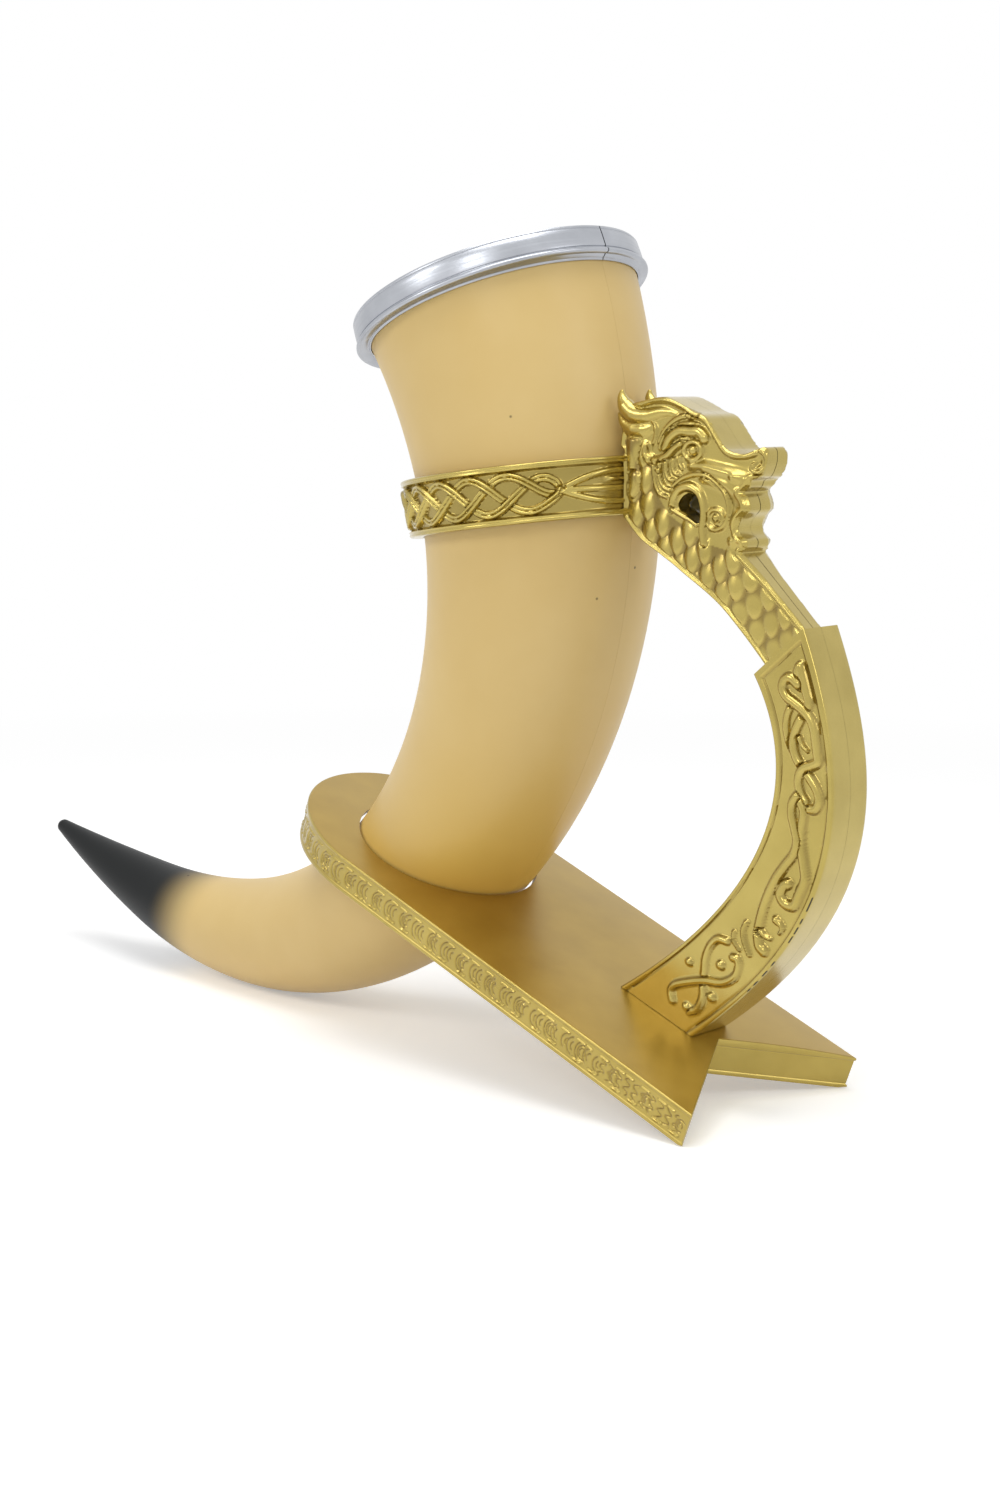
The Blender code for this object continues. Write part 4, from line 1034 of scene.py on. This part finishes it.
# %% The strokes of the arm
ARM_STROKES = [
    ("strand c", 0.8, 0.8, 0.55, [(150.2, 107.9), (148.9, 105.1), (148.6, 101.9), (149.5, 98.5),
     (151.1, 95.7), (152.9, 93.4)]),
    ("strand a", 1.05, 1.0, 0.75, [(152.5, 112.6), (151.5, 114.4), (151.9, 116.4), (153.5, 117.7),
     (155.4, 116.6), (156.6, 114.4), (157.0, 111.7), (156.1, 109.0), (154.4, 106.4), (152.5, 103.5),
     (151.2, 100.4), (151.0, 97.4), (152.1, 94.6), (154.1, 92.3), (156.3, 90.1), (158.2, 87.6),
     (159.0, 85.0), (158.0, 82.9), (155.9, 82.6)]),
    ("strand b", 1.05, 1.0, 0.75, [(151.9, 113.0), (149.9, 114.3), (148.1, 113.8), (147.3, 111.9),
     (148.5, 109.7), (150.8, 108.4), (153.2, 107.0), (155.6, 105.1), (157.6, 102.8), (158.9, 99.7),
     (159.3, 96.8), (158.4, 94.5), (156.5, 93.4), (154.4, 92.6), (153.0, 91.0), (152.7, 88.5),
     (153.5, 86.1), (154.9, 84.3)]),
    ("inner leaf", 0.6, 0.4, 0.55, [(152.8, 99.8), (153.7, 98.2), (155.2, 96.9)]),
    ("strand e", 0.95, 1.1, 0.7, [(153.1, 84.5), (154.4, 81.7), (153.9, 77.7), (153.8, 73.4),
     (154.5, 69.3), (155.1, 64.9), (154.3, 60.7), (152.1, 57.9), (149.2, 58.1), (147.7, 60.1),
     (148.8, 62.4), (150.0, 63.1)]),
    ("strand d", 0.95, 1.1, 0.7, [(152.2, 85.4), (150.9, 83.5), (150.8, 80.5), (151.8, 77.1),
     (152.5, 74.0), (151.5, 70.6), (149.0, 67.5), (146.3, 63.8), (143.9, 59.2), (142.1, 54.3),
     (141.1, 49.6), (141.4, 46.3), (142.8, 45.0)]),
    ("leaf", 0.8, 0.3, 0.55, [(146.5, 53.5), (148.1, 52.5), (148.7, 51.3), (147.7, 50.1)]),
    ("leaf", 0.7, 0.35, 0.5, [(141.9, 49.9), (143.2, 48.9), (144.8, 48.4)]),
    ("leaf", 0.6, 0.4, 0.5, [(137.2, 51.2), (136.3, 49.0), (136.8, 46.3), (138.3, 43.2)]),
    ("leaf", 0.45, 0.3, 0.4, [(133.4, 48.3), (133.3, 46.2), (135.1, 43.9)]),
    ("scroll down", 0.8, 0.8, 0.55, [(131.2, 45.6), (128.3, 45.7), (125.8, 43.4), (124.4, 40.1),
     (124.1, 36.9), (123.6, 33.1), (123.5, 29.7), (121.8, 26.2), (119.2, 25.0)]),
    ("scroll across", 0.8, 0.8, 0.6, [(113.5, 27.0), (113.1, 29.6), (114.7, 31.4), (119.4, 33.0),
     (124.3, 34.1), (129.8, 34.6), (133.6, 36.6), (135.0, 39.3), (134.7, 41.5), (133.2, 41.7)]),
    ("pellet", 0.75, 0.75, 0.55, [(119.0, 38.2), (119.1, 38.1)]),
    ("pellet", 0.9, 0.9, 0.6, [(129.2, 39.1), (129.4, 39.0)]),
    ("pellet", 0.9, 0.9, 0.6, [(126.3, 30.2), (126.5, 30.1)]),
    ("pellet", 0.8, 0.8, 0.55, [(118.1, 26.2), (118.4, 26.1)]),
]
print(len(ARM_STROKES), "strokes for the arm")

# %% The arm's edges
ARM_HALF = 7.4
ARM_WALL_AND_FIT = 1.9
PLATE_CROWN = 1.3
FOOT_REACH = (-29.7, -3.7)
FOOT_LEVEL = PLATE_CROWN + 0.1
SHOULDER = COLLAR_BACK + np.array([NECK_INNER_END, NECK_OUTER_END])
SHOULDER_LINE = (SHOULDER[1] - SHOULDER[0]) / np.hypot(*(SHOULDER[1] - SHOULDER[0]))
SHOULDER_INNER = SHOULDER[0] - SHOULDER_LINE * ARM_WALL_AND_FIT
SHOULDER_OUTER = SHOULDER[1] + SHOULDER_LINE * ARM_WALL_AND_FIT
FOOT_INNER, FOOT_OUTER = (NOTCH + PLATE_ALONG * x + PLATE_UP * FOOT_LEVEL for x in FOOT_REACH)
ARM_EDGES = {
    "inner": (SHOULDER_INNER, -57.8, 43.4, FOOT_INNER, 32.4, 33.3),
    "outer": (SHOULDER_OUTER, -67.4, 38.6, FOOT_OUTER, 36.3, 64.8),
}


def arm_edge(name, t):
    """Points of one of the arm's edges, from the shoulder (0) to the foot (1)."""
    start, first_deg, first, end, last_deg, last = ARM_EDGES[name]
    a = start + towards(math.radians(first_deg)) * first
    b = end + towards(math.radians(last_deg)) * last
    u, t = (1 - t)[:, None], t[:, None]
    return start * u ** 3 + a * 3 * u * u * t + b * 3 * u * t * t + end * t ** 3


print("arm runs from", np.round(SHOULDER_INNER, 1), "to", np.round(FOOT_OUTER, 1))

# %% The arm's section
ARM_EDGE_ROUND = 0.7
ARM_FACE_COLUMNS = 64
ARM_WALL_COLUMNS = 6
ARM_CORNER_COLUMNS = 5


def arm_profile():
    """Columns of the section: the share of the width, what is added to it, the depth, and 1 on the face."""
    flat = ARM_HALF - ARM_EDGE_ROUND
    seam = SEAM_GAP / 2
    side = [(0.0, seam + (flat - seam) * k / ARM_WALL_COLUMNS) for k in range(ARM_WALL_COLUMNS)]
    for turn in np.arange(ARM_CORNER_COLUMNS) / ARM_CORNER_COLUMNS * math.pi / 2:
        side.append((ARM_EDGE_ROUND * (1 - math.cos(turn)), flat + ARM_EDGE_ROUND * math.sin(turn)))
    columns = [(0, inset, depth, 0) for inset, depth in side]
    for share in np.linspace(0, 1, ARM_FACE_COLUMNS + 1):
        columns.append((share, ARM_EDGE_ROUND * (1 - 2 * share), ARM_HALF, 1))
    columns += [(1, -inset, depth, 0) for inset, depth in reversed(side)]
    return np.array(columns)


print("arm section has", len(arm_profile()), "columns")

# %% [markdown]
# The strokes were drawn from the photo, so a few of them come too near a border. They are moved
# inwards before they are carved. Along the outer edge the lacquer has chipped off in eight places.

# %% Carve the arm's panel
ARM_BORDER, ARM_BORDER_SOFT = 1.8, 0.5
ARM_FATTER, ARM_TALLER = 1.3, 1.7
PANEL_SINK, STROKE_KEEP_OFF = 0.3, 0.6
DITCH_DEPTH, DITCH_AT, DITCH_WIDTH = 0.5, ARM_BORDER + 0.35, 0.3
PANEL_SHADE, DITCH_SHADE = 0.42, 0.8


def inside_panel(run, width):
    """Points of a stroke, moved off the arm's edges where the stroke would run into a border."""
    run = np.array(run)
    for name in ("inner", "outer"):
        line = arm_edge(name, np.linspace(0, 1, 600))
        for index, point in enumerate(run):
            near = line[np.argmin(np.hypot(*(line - point).T))]
            gap = np.hypot(*(point - near))
            run[index] = near + (point - near) / gap * max(gap, ARM_BORDER + STROKE_KEEP_OFF + width)
    return run


def panel_relief(flat, edge):
    """Height of the carving at points of the arm's face, and the painted shade in its grooves and ditch."""
    strokes = [(name, start, end, height, inside_panel(run, max(start, end)))
               for name, start, end, height, run in scaled_strokes(ARM_STROKES, ARM_FATTER, ARM_TALLER)]
    field, groove = carve(flat, strokes, np.full(len(flat), -PANEL_SINK))
    field = np.where(edge < ARM_BORDER + ARM_BORDER_SOFT, 0, field)
    panel = smoothstep(ARM_BORDER, ARM_BORDER + ARM_BORDER_SOFT, edge)
    ditch = DITCH_DEPTH * hump(edge, DITCH_AT, DITCH_WIDTH)
    return field * panel - ditch, np.maximum(groove * panel * PANEL_SHADE, ditch * DITCH_SHADE)


print("arm's border is", ARM_BORDER, "mm wide")

# %% Chip the arm's edge
CHIP_WIDTH, CHIP_DEPTH, CHIP_FADE = 0.4, 0.45, 0.003
CHIP_RUNS = [
    [(137.8, 34.1), (138.4, 34.9)], [(140.0, 35.7), (140.9, 36.7)], [(142.8, 38.5), (144.0, 39.8)],
    [(146.1, 41.2), (146.7, 42.3)], [(151.9, 47.5), (152.7, 49.2)], [(153.3, 50.3), (154.2, 51.9)],
    [(154.8, 53.3), (155.4, 54.4)], [(157.1, 56.6), (159.1, 60.0)],
]


def edge_chips(t, gap):
    """1 on the chips: t is how far down the arm a point is, and gap how far from its outer edge."""
    chip = np.zeros(len(t))
    stations = np.linspace(0, 1, 2001)
    edge = arm_edge("outer", stations)
    for run in CHIP_RUNS:
        first, last = sorted(stations[np.argmin(np.hypot(*(edge - p).T))] for p in np.array(run))
        length = smoothstep(first - CHIP_FADE, first, t) * smoothstep(last + CHIP_FADE, last, t)
        chip = np.maximum(chip, length * (1 - smoothstep(CHIP_WIDTH * 0.7, CHIP_WIDTH, gap)))
    return chip


print(len(CHIP_RUNS), "chips along the arm's edge")

# %% Lay the arm's left half
ARM_ROWS = 400

# Left half of the arm as a closed solid.
profile = arm_profile()
t = np.repeat(np.linspace(0, 1, ARM_ROWS + 1), len(profile))
share, added, depth, face = np.tile(profile, (ARM_ROWS + 1, 1)).T
inner, across = arm_edge("inner", t), arm_edge("outer", t) - arm_edge("inner", t)
width = np.hypot(*across.T)
reach = share * width + added
flat = inner + across * (reach / width)[:, None]
to_shoulder = np.abs((flat - SHOULDER_INNER) @ np.array([-SHOULDER_LINE[1], SHOULDER_LINE[0]]))
edge = np.minimum(np.minimum(reach, width - reach), to_shoulder)
field, painted_shade = panel_relief(flat, edge)
depth = depth + field * face
lines = np.insert(flat, 1, -depth, axis=1).reshape(ARM_ROWS + 1, -1, 3)
arm_left, order = lay_grid("arm_left_cast", lines)
# Painted shade in the panel's grooves and the ditch inside its border.
paint(arm_left, "recess", (painted_shade * face)[order])
paint(arm_left, "chip", (edge_chips(t, width - reach) * (depth > ARM_HALF - CHIP_DEPTH))[order])
column = order % len(profile)
edit(arm_left, bpy.ops.mesh.bridge_edge_loops, (column == 0) | (column == len(profile) - 1))
fill_open(arm_left)
arm_right = mirrored(arm_left, "arm_right_cast")
finish_piece(arm_left, "stand", GOLD_CARVED, ["arm_left_half"])
finish_piece(arm_right, "stand", GOLD_CARVED, ["arm_right_half"])

# %% [markdown]
# ## The base plate
# The plate is one moulding: a slightly domed top with a skirt round it, a fishtail at the front and
# a slanting hole for the horn. It could be one extruded outline, but the plain top and the carved
# skirt need quite different grids. So the top is a grid laid over the outline, thickened, and cut by
# a swollen copy of the horn, and the skirt is a strip along the outline.

# %% Plate sizes
PLATE_HALF_WIDTH = 34.6
PLATE_STRAIGHT = 111.0
PLATE_ROUND = 41.8
TAIL_LENGTH = 21.1
TAIL_SLANT = math.hypot(TAIL_LENGTH, PLATE_HALF_WIDTH) / PLATE_HALF_WIDTH
PLATE_WALL = 2.0
CROWN_FLAT = ARM_HALF + 2.0


def crown(y):
    """Height of the domed top over its edges; it is flat under the arm."""
    fall = np.maximum(0, np.abs(y) - CROWN_FLAT) / (PLATE_HALF_WIDTH - CROWN_FLAT)
    return PLATE_CROWN * (1 - fall ** 2)


def plate_to_world(x, y, z):
    """Points of the plate's own frame, in the part's frame; nothing goes below the table."""
    flat = NOTCH + np.outer(x, PLATE_ALONG) + np.outer(z, PLATE_UP)
    return np.stack([flat[:, 0], y, np.maximum(flat[:, 1], 0)], 1)


def plate_outline(inset, spacing):
    """Closed outline of the plate, evenly stepped, starting at the notch and going by the left side."""
    half = PLATE_HALF_WIDTH - inset
    notch, tip = -inset * TAIL_SLANT, TAIL_LENGTH * half / PLATE_HALF_WIDTH - inset * TAIL_SLANT
    turns = np.linspace(-math.pi / 2, math.pi / 2, 120)
    bow = np.stack([-PLATE_STRAIGHT - (PLATE_ROUND - inset) * np.cos(turns), half * np.sin(turns)], 1)
    corners = np.vstack([[(notch, 0), (tip, -half)], bow, [(tip, half), (notch, 0)]])
    length = np.concatenate([[0], np.cumsum(np.hypot(*np.diff(corners, axis=0).T))])
    stations = np.linspace(0, length[-1], int(length[-1] / spacing) + 1)
    return np.stack([np.interp(stations, length, side) for side in corners.T], 1), stations, length


print("plate outline is", round(plate_outline(0, 1.0)[1][-1]), "mm round")

# %% Make a cutter for the hole
HOLE_CLEARANCE = 0.65
CUTTER_FROM, CUTTER_TO = 150.0, 255.0
CUTTER_STEPS, CUTTER_COLUMNS = 60, 96

# Closed solid of the horn's own sweep where it goes through the plate, swollen by a clearance.
sections = [horn_section(s) for s in np.linspace(CUTTER_FROM, CUTTER_TO, CUTTER_STEPS + 1)]
sections = [(centre, tilt, radius + HOLE_CLEARANCE) for centre, tilt, radius in sections]
sections = [(*sections[0][:2], 0.0), *sections, (*sections[-1][:2], 0.0)]
turns = np.linspace(0, 2 * math.pi, CUTTER_COLUMNS + 1)
cutter, _ = lay_grid("horn_cutter", np.stack([ring(*section, turns) for section in sections]))
weld(cutter)
turn_out(cutter)
print("the hole is", HOLE_CLEARANCE, "mm clear of the horn")

# %% Lay the plate's top and cut the hole
TOP_COLUMNS, TOP_ROWS = 150, 84
TOP_INSET = 0.45

# Domed sheet with the horn's hole.
turn = np.repeat(np.linspace(-0.5, 0.5, TOP_ROWS + 1) * math.pi, TOP_COLUMNS + 1)
share = np.tile(np.linspace(0, 1, TOP_COLUMNS + 1), TOP_ROWS + 1)
y = (PLATE_HALF_WIDTH - TOP_INSET) * np.sin(turn)
left = -PLATE_STRAIGHT - (PLATE_ROUND - TOP_INSET) * np.cos(turn)
right = TAIL_LENGTH * np.abs(y) / PLATE_HALF_WIDTH - TOP_INSET * TAIL_SLANT
lines = plate_to_world(left + (right - left) * share, y, crown(y))
plate_top, _ = lay_grid("plate_top", lines.reshape(TOP_ROWS + 1, -1, 3))
weld(plate_top)
apply_modifier(plate_top, "SOLIDIFY", thickness=PLATE_WALL * MM, offset=-1.0)
apply_modifier(plate_top, "BOOLEAN", operation="DIFFERENCE", object=cutter, solver="EXACT")
bpy.data.objects.remove(cutter)
paint(plate_top, "recess", 0)
paint(plate_top, "chip", 0)
finish_piece(plate_top, "stand", GOLD_PLAIN, ["base_plate"], 30.0)

# %% [markdown]
# The frieze on the skirt is a row of leaning, nested arcs with a curl after every few, dashes along
# its borders and waves near the fishtail. Its mould is worn, so its lines are about a third of a
# millimetre deep. A bump map could carry them, but only real relief also shows where the skirt turns
# away from the eye. The two faces of the fishtail are plain.

# %% Draw the frieze
FRIEZE_PERIOD = 2.9
FRIEZE_MIDDLE = -4.9
FRIEZE_WAVES = 10
FRIEZE_RELIEF = 0.34
FRIEZE_LINE, FRIEZE_FINE_LINE, FRIEZE_DASH = 0.22, 0.2, 0.25
FRIEZE_ARC, FRIEZE_SWELL, FRIEZE_LEAN_DEG = 2.6, 0.35, 16


def shell_arc(middle, radius, first_deg, last_deg):
    """Points of an arc of the frieze."""
    turns = np.radians(np.linspace(first_deg, last_deg, 7))
    return [(middle + radius * math.cos(t), FRIEZE_MIDDLE + radius * math.sin(t)) for t in turns]


def frieze_unit(unit, middle, wave):
    """Strokes of one unit of the frieze; every unit leans and swells a little differently."""
    lean = FRIEZE_LEAN_DEG * math.sin(unit * 2.4)
    size = FRIEZE_ARC + FRIEZE_SWELL * math.sin(unit * 1.7)
    curl = unit % 4 == 0
    lines, dashes = [], []
    if wave:
        zigzag = [(middle + 1.1 * math.sin(2.1 * k + unit), -2.6 - 0.8 * k) for k in range(7)]
        lines.append((FRIEZE_LINE, zigzag))
    else:
        lines.append((FRIEZE_LINE, shell_arc(middle - 1.6, size, lean - 72, lean + 72)))
    if not wave and not curl:
        lines.append((FRIEZE_FINE_LINE, shell_arc(middle - 1.7, size - 1.2, lean - 64, lean + 64)))
    if curl:
        lines.append((FRIEZE_LINE, shell_arc(middle - 1.4, size - 1.0, lean - 110, lean + 130)))
        lines.append((FRIEZE_LINE, shell_arc(middle - 1.2, size - 1.8, lean - 60, lean + 200)))
    if unit % 5 in (1, 2, 4):
        dashes.append((FRIEZE_FINE_LINE, [(middle - 1.5, -2.15), (middle + 1.3, -2.1)]))
    if unit % 5 in (0, 2):
        dashes.append((FRIEZE_DASH, [(middle - 1.6, -7.6), (middle + 0.4, -7.7), (middle + 1.3, -7.6)]))
    strokes = [("line", width, width, -FRIEZE_RELIEF, run) for width, run in lines]
    return strokes + [("dash", FRIEZE_DASH, end, FRIEZE_RELIEF, run) for end, run in dashes]


def frieze_strokes(first, last):
    """Strokes of the whole frieze between two stations of the outline."""
    count = int((last - first) / FRIEZE_PERIOD)
    strokes = []
    for unit in range(count):
        middle = first + (unit + 0.5 + 0.16 * math.sin(unit * 3.1)) * (last - first) / count
        strokes += frieze_unit(unit, middle, min(unit, count - 1 - unit) < FRIEZE_WAVES)
    return strokes


print("a unit of the frieze is", FRIEZE_PERIOD, "mm long")

# %% Carve the plate's skirt
SKIRT_STEP = 0.24
FRIEZE_TOP, FRIEZE_BOTTOM, FRIEZE_ROWS = -1.7, -8.1, 30
FRIEZE_FADE, FRIEZE_END_GAP = 0.3, 2.0
FRIEZE_SHADE = 0.45
DOMED_ROWS = 4
SKIRT_LIP = [(-0.7, 1.9), (-0.06, 0.45), (-0.12, 0.2), (-0.32, 0.06), (-0.6, 0.06), (-0.85, 0.14),
             (-1.0, 0.34), (-1.15, 0.3), (-1.35, 0.3)]
SKIRT_FRIEZE = [(level, 0.3) for level in np.linspace(FRIEZE_TOP, FRIEZE_BOTTOM, FRIEZE_ROWS)]
SKIRT_FOOT = [(-8.3, 0.32), (-8.5, 0.1), (-8.7, 0.02), (-9.1, 0.0), (-9.45, 0.05), (-9.6, 0.25),
              (-9.6, 2.0), (-5.0, 2.0), (0.0, 1.9)]


def skirt_rows(levels_and_insets, count):
    """The outline at each inset of the skirt's profile, as rows of the same number of points."""
    rows = []
    for _, inset in levels_and_insets:
        outline, stations, _ = plate_outline(inset, SKIRT_STEP)
        share = np.linspace(0, stations[-1], count)
        rows.append(np.stack([np.interp(share, stations, side) for side in outline.T], 1))
    return np.vstack(rows)


# Closed strip round the plate, with the frieze on the sides and the round end.
profile = SKIRT_LIP + SKIRT_FRIEZE + SKIRT_FOOT
outline, stations, corners = plate_outline(0, SKIRT_STEP)
ahead = np.roll(outline[:-1], -1, axis=0) - np.roll(outline[:-1], 1, axis=0)
ahead = np.vstack([ahead, ahead[:1]]) / np.hypot(*ahead.T).mean()
outward = np.tile(np.stack([-ahead[:, 1], ahead[:, 0]], 1), (len(profile), 1))
row = np.repeat(np.arange(len(profile)), len(outline))
level = np.array(profile)[row, 0]
points = np.stack([np.tile(stations, len(profile)), level], 1)
carved = (row >= len(SKIRT_LIP)) & (row < len(SKIRT_LIP) + FRIEZE_ROWS)
strokes = frieze_strokes(corners[1] + FRIEZE_END_GAP, corners[-2] - FRIEZE_END_GAP)
field = np.zeros(len(points))
field[carved] = carve(points[carved], strokes, field[carved])[0]
field *= smoothstep(FRIEZE_TOP, FRIEZE_TOP - FRIEZE_FADE, level)
field *= smoothstep(FRIEZE_BOTTOM, FRIEZE_BOTTOM + FRIEZE_FADE, level)
flat = skirt_rows(profile, len(outline)) + outward * np.maximum(field, -FRIEZE_RELIEF)[:, None]
rise = (row < DOMED_ROWS) * crown(flat[:, 1])
lines = plate_to_world(flat[:, 0], flat[:, 1], level + rise)
plate_skirt, order = lay_grid("plate_skirt", lines.reshape(len(profile), -1, 3))
# Painted shade in the lines of the frieze.
painted_shade = carved * (1 - smoothstep(-FRIEZE_RELIEF, 0.0, field)) * FRIEZE_SHADE
paint(plate_skirt, "recess", painted_shade[order])
paint(plate_skirt, "chip", 0)
weld(plate_skirt)
finish_piece(plate_skirt, "stand", GOLD_SKIRT, [], 40.0)

# %% [markdown]
# ## The screws
# Four screws hold the arm's foot from under the plate. New ones could be modelled, but their packed
# shape is good enough there. They only get the grey of zinc plating, a soft metal with a fine grain.

# %% Give the screws their finish
ZINC_GRAIN_MM = 0.6
ZINC_ROUGHNESS = 0.35

STEEL, tree, shader, place = new_finish("zinc_plated_steel")
grain = add_node(tree, NOISE, Vector=place, Scale=1000 / ZINC_GRAIN_MM, Detail=3.0).outputs["Fac"]
zinc = add_node(tree, RAMP, stops=[(0.3, colour("#A9ABAD")), (0.7, colour("#C2C3C2"))], Fac=grain)
set_inputs(shader, Base_Color=zinc.outputs[0], Metallic=1.0, Roughness=ZINC_ROUGHNESS)
for number in range(1, 5):
    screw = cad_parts[f"foot_screw_{number}"]
    screw.data.materials.clear()
    screw.data.materials.append(STEEL)
print("screws finished with", STEEL.name)

# %% [markdown]
# ## The floor and the light
# The photo has a white sheet that runs on into a white background, and only a soft shadow near the
# stand. A bent sheet could be modelled, but a flat floor that glows white further out has no edge to
# light. The world is white where it is looked at or mirrored, and dimmer where it lights the part.

# %% Lay the floor
FLOOR_SIZE = 8000.0
FLOOR_DROP = 0.3
FLOOR_FADE = (250.0, 700.0)
FLOOR_GLOW = 0.35


def looking_rays(tree):
    """Socket that is 1 for rays that look at a thing, mirror it or pass through to it."""
    rays = add_node(tree, PATH).outputs
    passed = add_node(tree, *LARGER, _0=rays["Is Glossy Ray"], _1=rays["Is Transmission Ray"])
    return add_node(tree, *LARGER, _0=rays["Is Camera Ray"], _1=passed.outputs[0]).outputs[0]


bpy.ops.object.select_all(action="DESELECT")
bpy.ops.mesh.primitive_plane_add(size=FLOOR_SIZE * MM, location=(0, 0, -FLOOR_DROP * MM))
floor = bpy.context.object
floor.name = "studio_floor"
paper = bpy.data.materials.new("white_paper_floor")
paper.use_nodes = True
tree = paper.node_tree
tree.nodes.clear()
look = looking_rays(tree)
place = add_node(tree, "ShaderNodeTexCoord").outputs["Object"]
from_middle = add_node(tree, "ShaderNodeVectorMath", {"operation": "LENGTH"}, _0=place).outputs["Value"]
fade = add_node(tree, RANGE, Value=from_middle, From_Min=FLOOR_FADE[0] * MM, From_Max=FLOOR_FADE[1] * MM)
seen = add_node(tree, *TIMES, _0=look, _1=fade.outputs[0])
glow = add_node(tree, *TIMES, _0=look, _1=FLOOR_GLOW)
diffuse = add_node(tree, "ShaderNodeBsdfDiffuse", Color=colour("#F6F6F6"))
emission = add_node(tree, "ShaderNodeEmission", Strength=glow.outputs[0])
near = add_node(tree, "ShaderNodeAddShader", _0=diffuse.outputs[0], _1=emission.outputs[0])
far = add_node(tree, "ShaderNodeEmission", Strength=1.0)
sheet = add_node(tree, "ShaderNodeMixShader", _0=seen.outputs[0], _1=near.outputs[0], _2=far.outputs[0])
add_node(tree, "ShaderNodeOutputMaterial", Surface=sheet.outputs[0])
floor.data.materials.append(paper)
print("floor of", paper.name)

# %% Make the world white
WORLD_FILL = 0.45

world = bpy.data.worlds.new("studio_world")
bpy.context.scene.world = world
world.use_nodes = True
tree = world.node_tree
tree.nodes.clear()
look = looking_rays(tree)
dim = add_node(tree, "ShaderNodeBackground", Color=WHITE, Strength=WORLD_FILL)
bright = add_node(tree, "ShaderNodeBackground", Color=WHITE, Strength=1.0)
sky = add_node(tree, "ShaderNodeMixShader", _0=look, _1=dim.outputs[0], _2=bright.outputs[0])
add_node(tree, "ShaderNodeOutputWorld", Surface=sky.outputs[0])
bpy.context.scene.view_settings.view_transform = "Standard"
print("world gives", WORLD_FILL, "of its light")

# %% [markdown]
# Four soft lamps hang above and stand on the left, in front and on the right. The large one above
# gives the shadow under the plate, and the others the long highlights on the gold.

# %% Hang the lamps
LAMPS = [
    ("top_soft_lamp", (100, -100, 900), (20, 0, 100), 500, 3.1),
    ("left_soft_lamp", (-300, -800, 600), (20, 0, 100), 260, 1.3),
    ("front_soft_lamp", (350, -750, 650), (20, 0, 120), 240, 0.9),
    ("right_soft_lamp", (900, 100, 500), (60, 0, 100), 260, 0.8),
]

for name, place, target, size, watts in LAMPS:
    data = bpy.data.lights.new(name, "AREA")
    data.size = size * MM
    data.energy = watts
    lamp = bpy.data.objects.new(name, data)
    lamp.location = Vector(place) * MM
    lamp.rotation_euler = (Vector(target) - Vector(place)).to_track_quat("-Z", "Y").to_euler()
    bpy.context.scene.collection.objects.link(lamp)
print(len(LAMPS), "lamps hung")
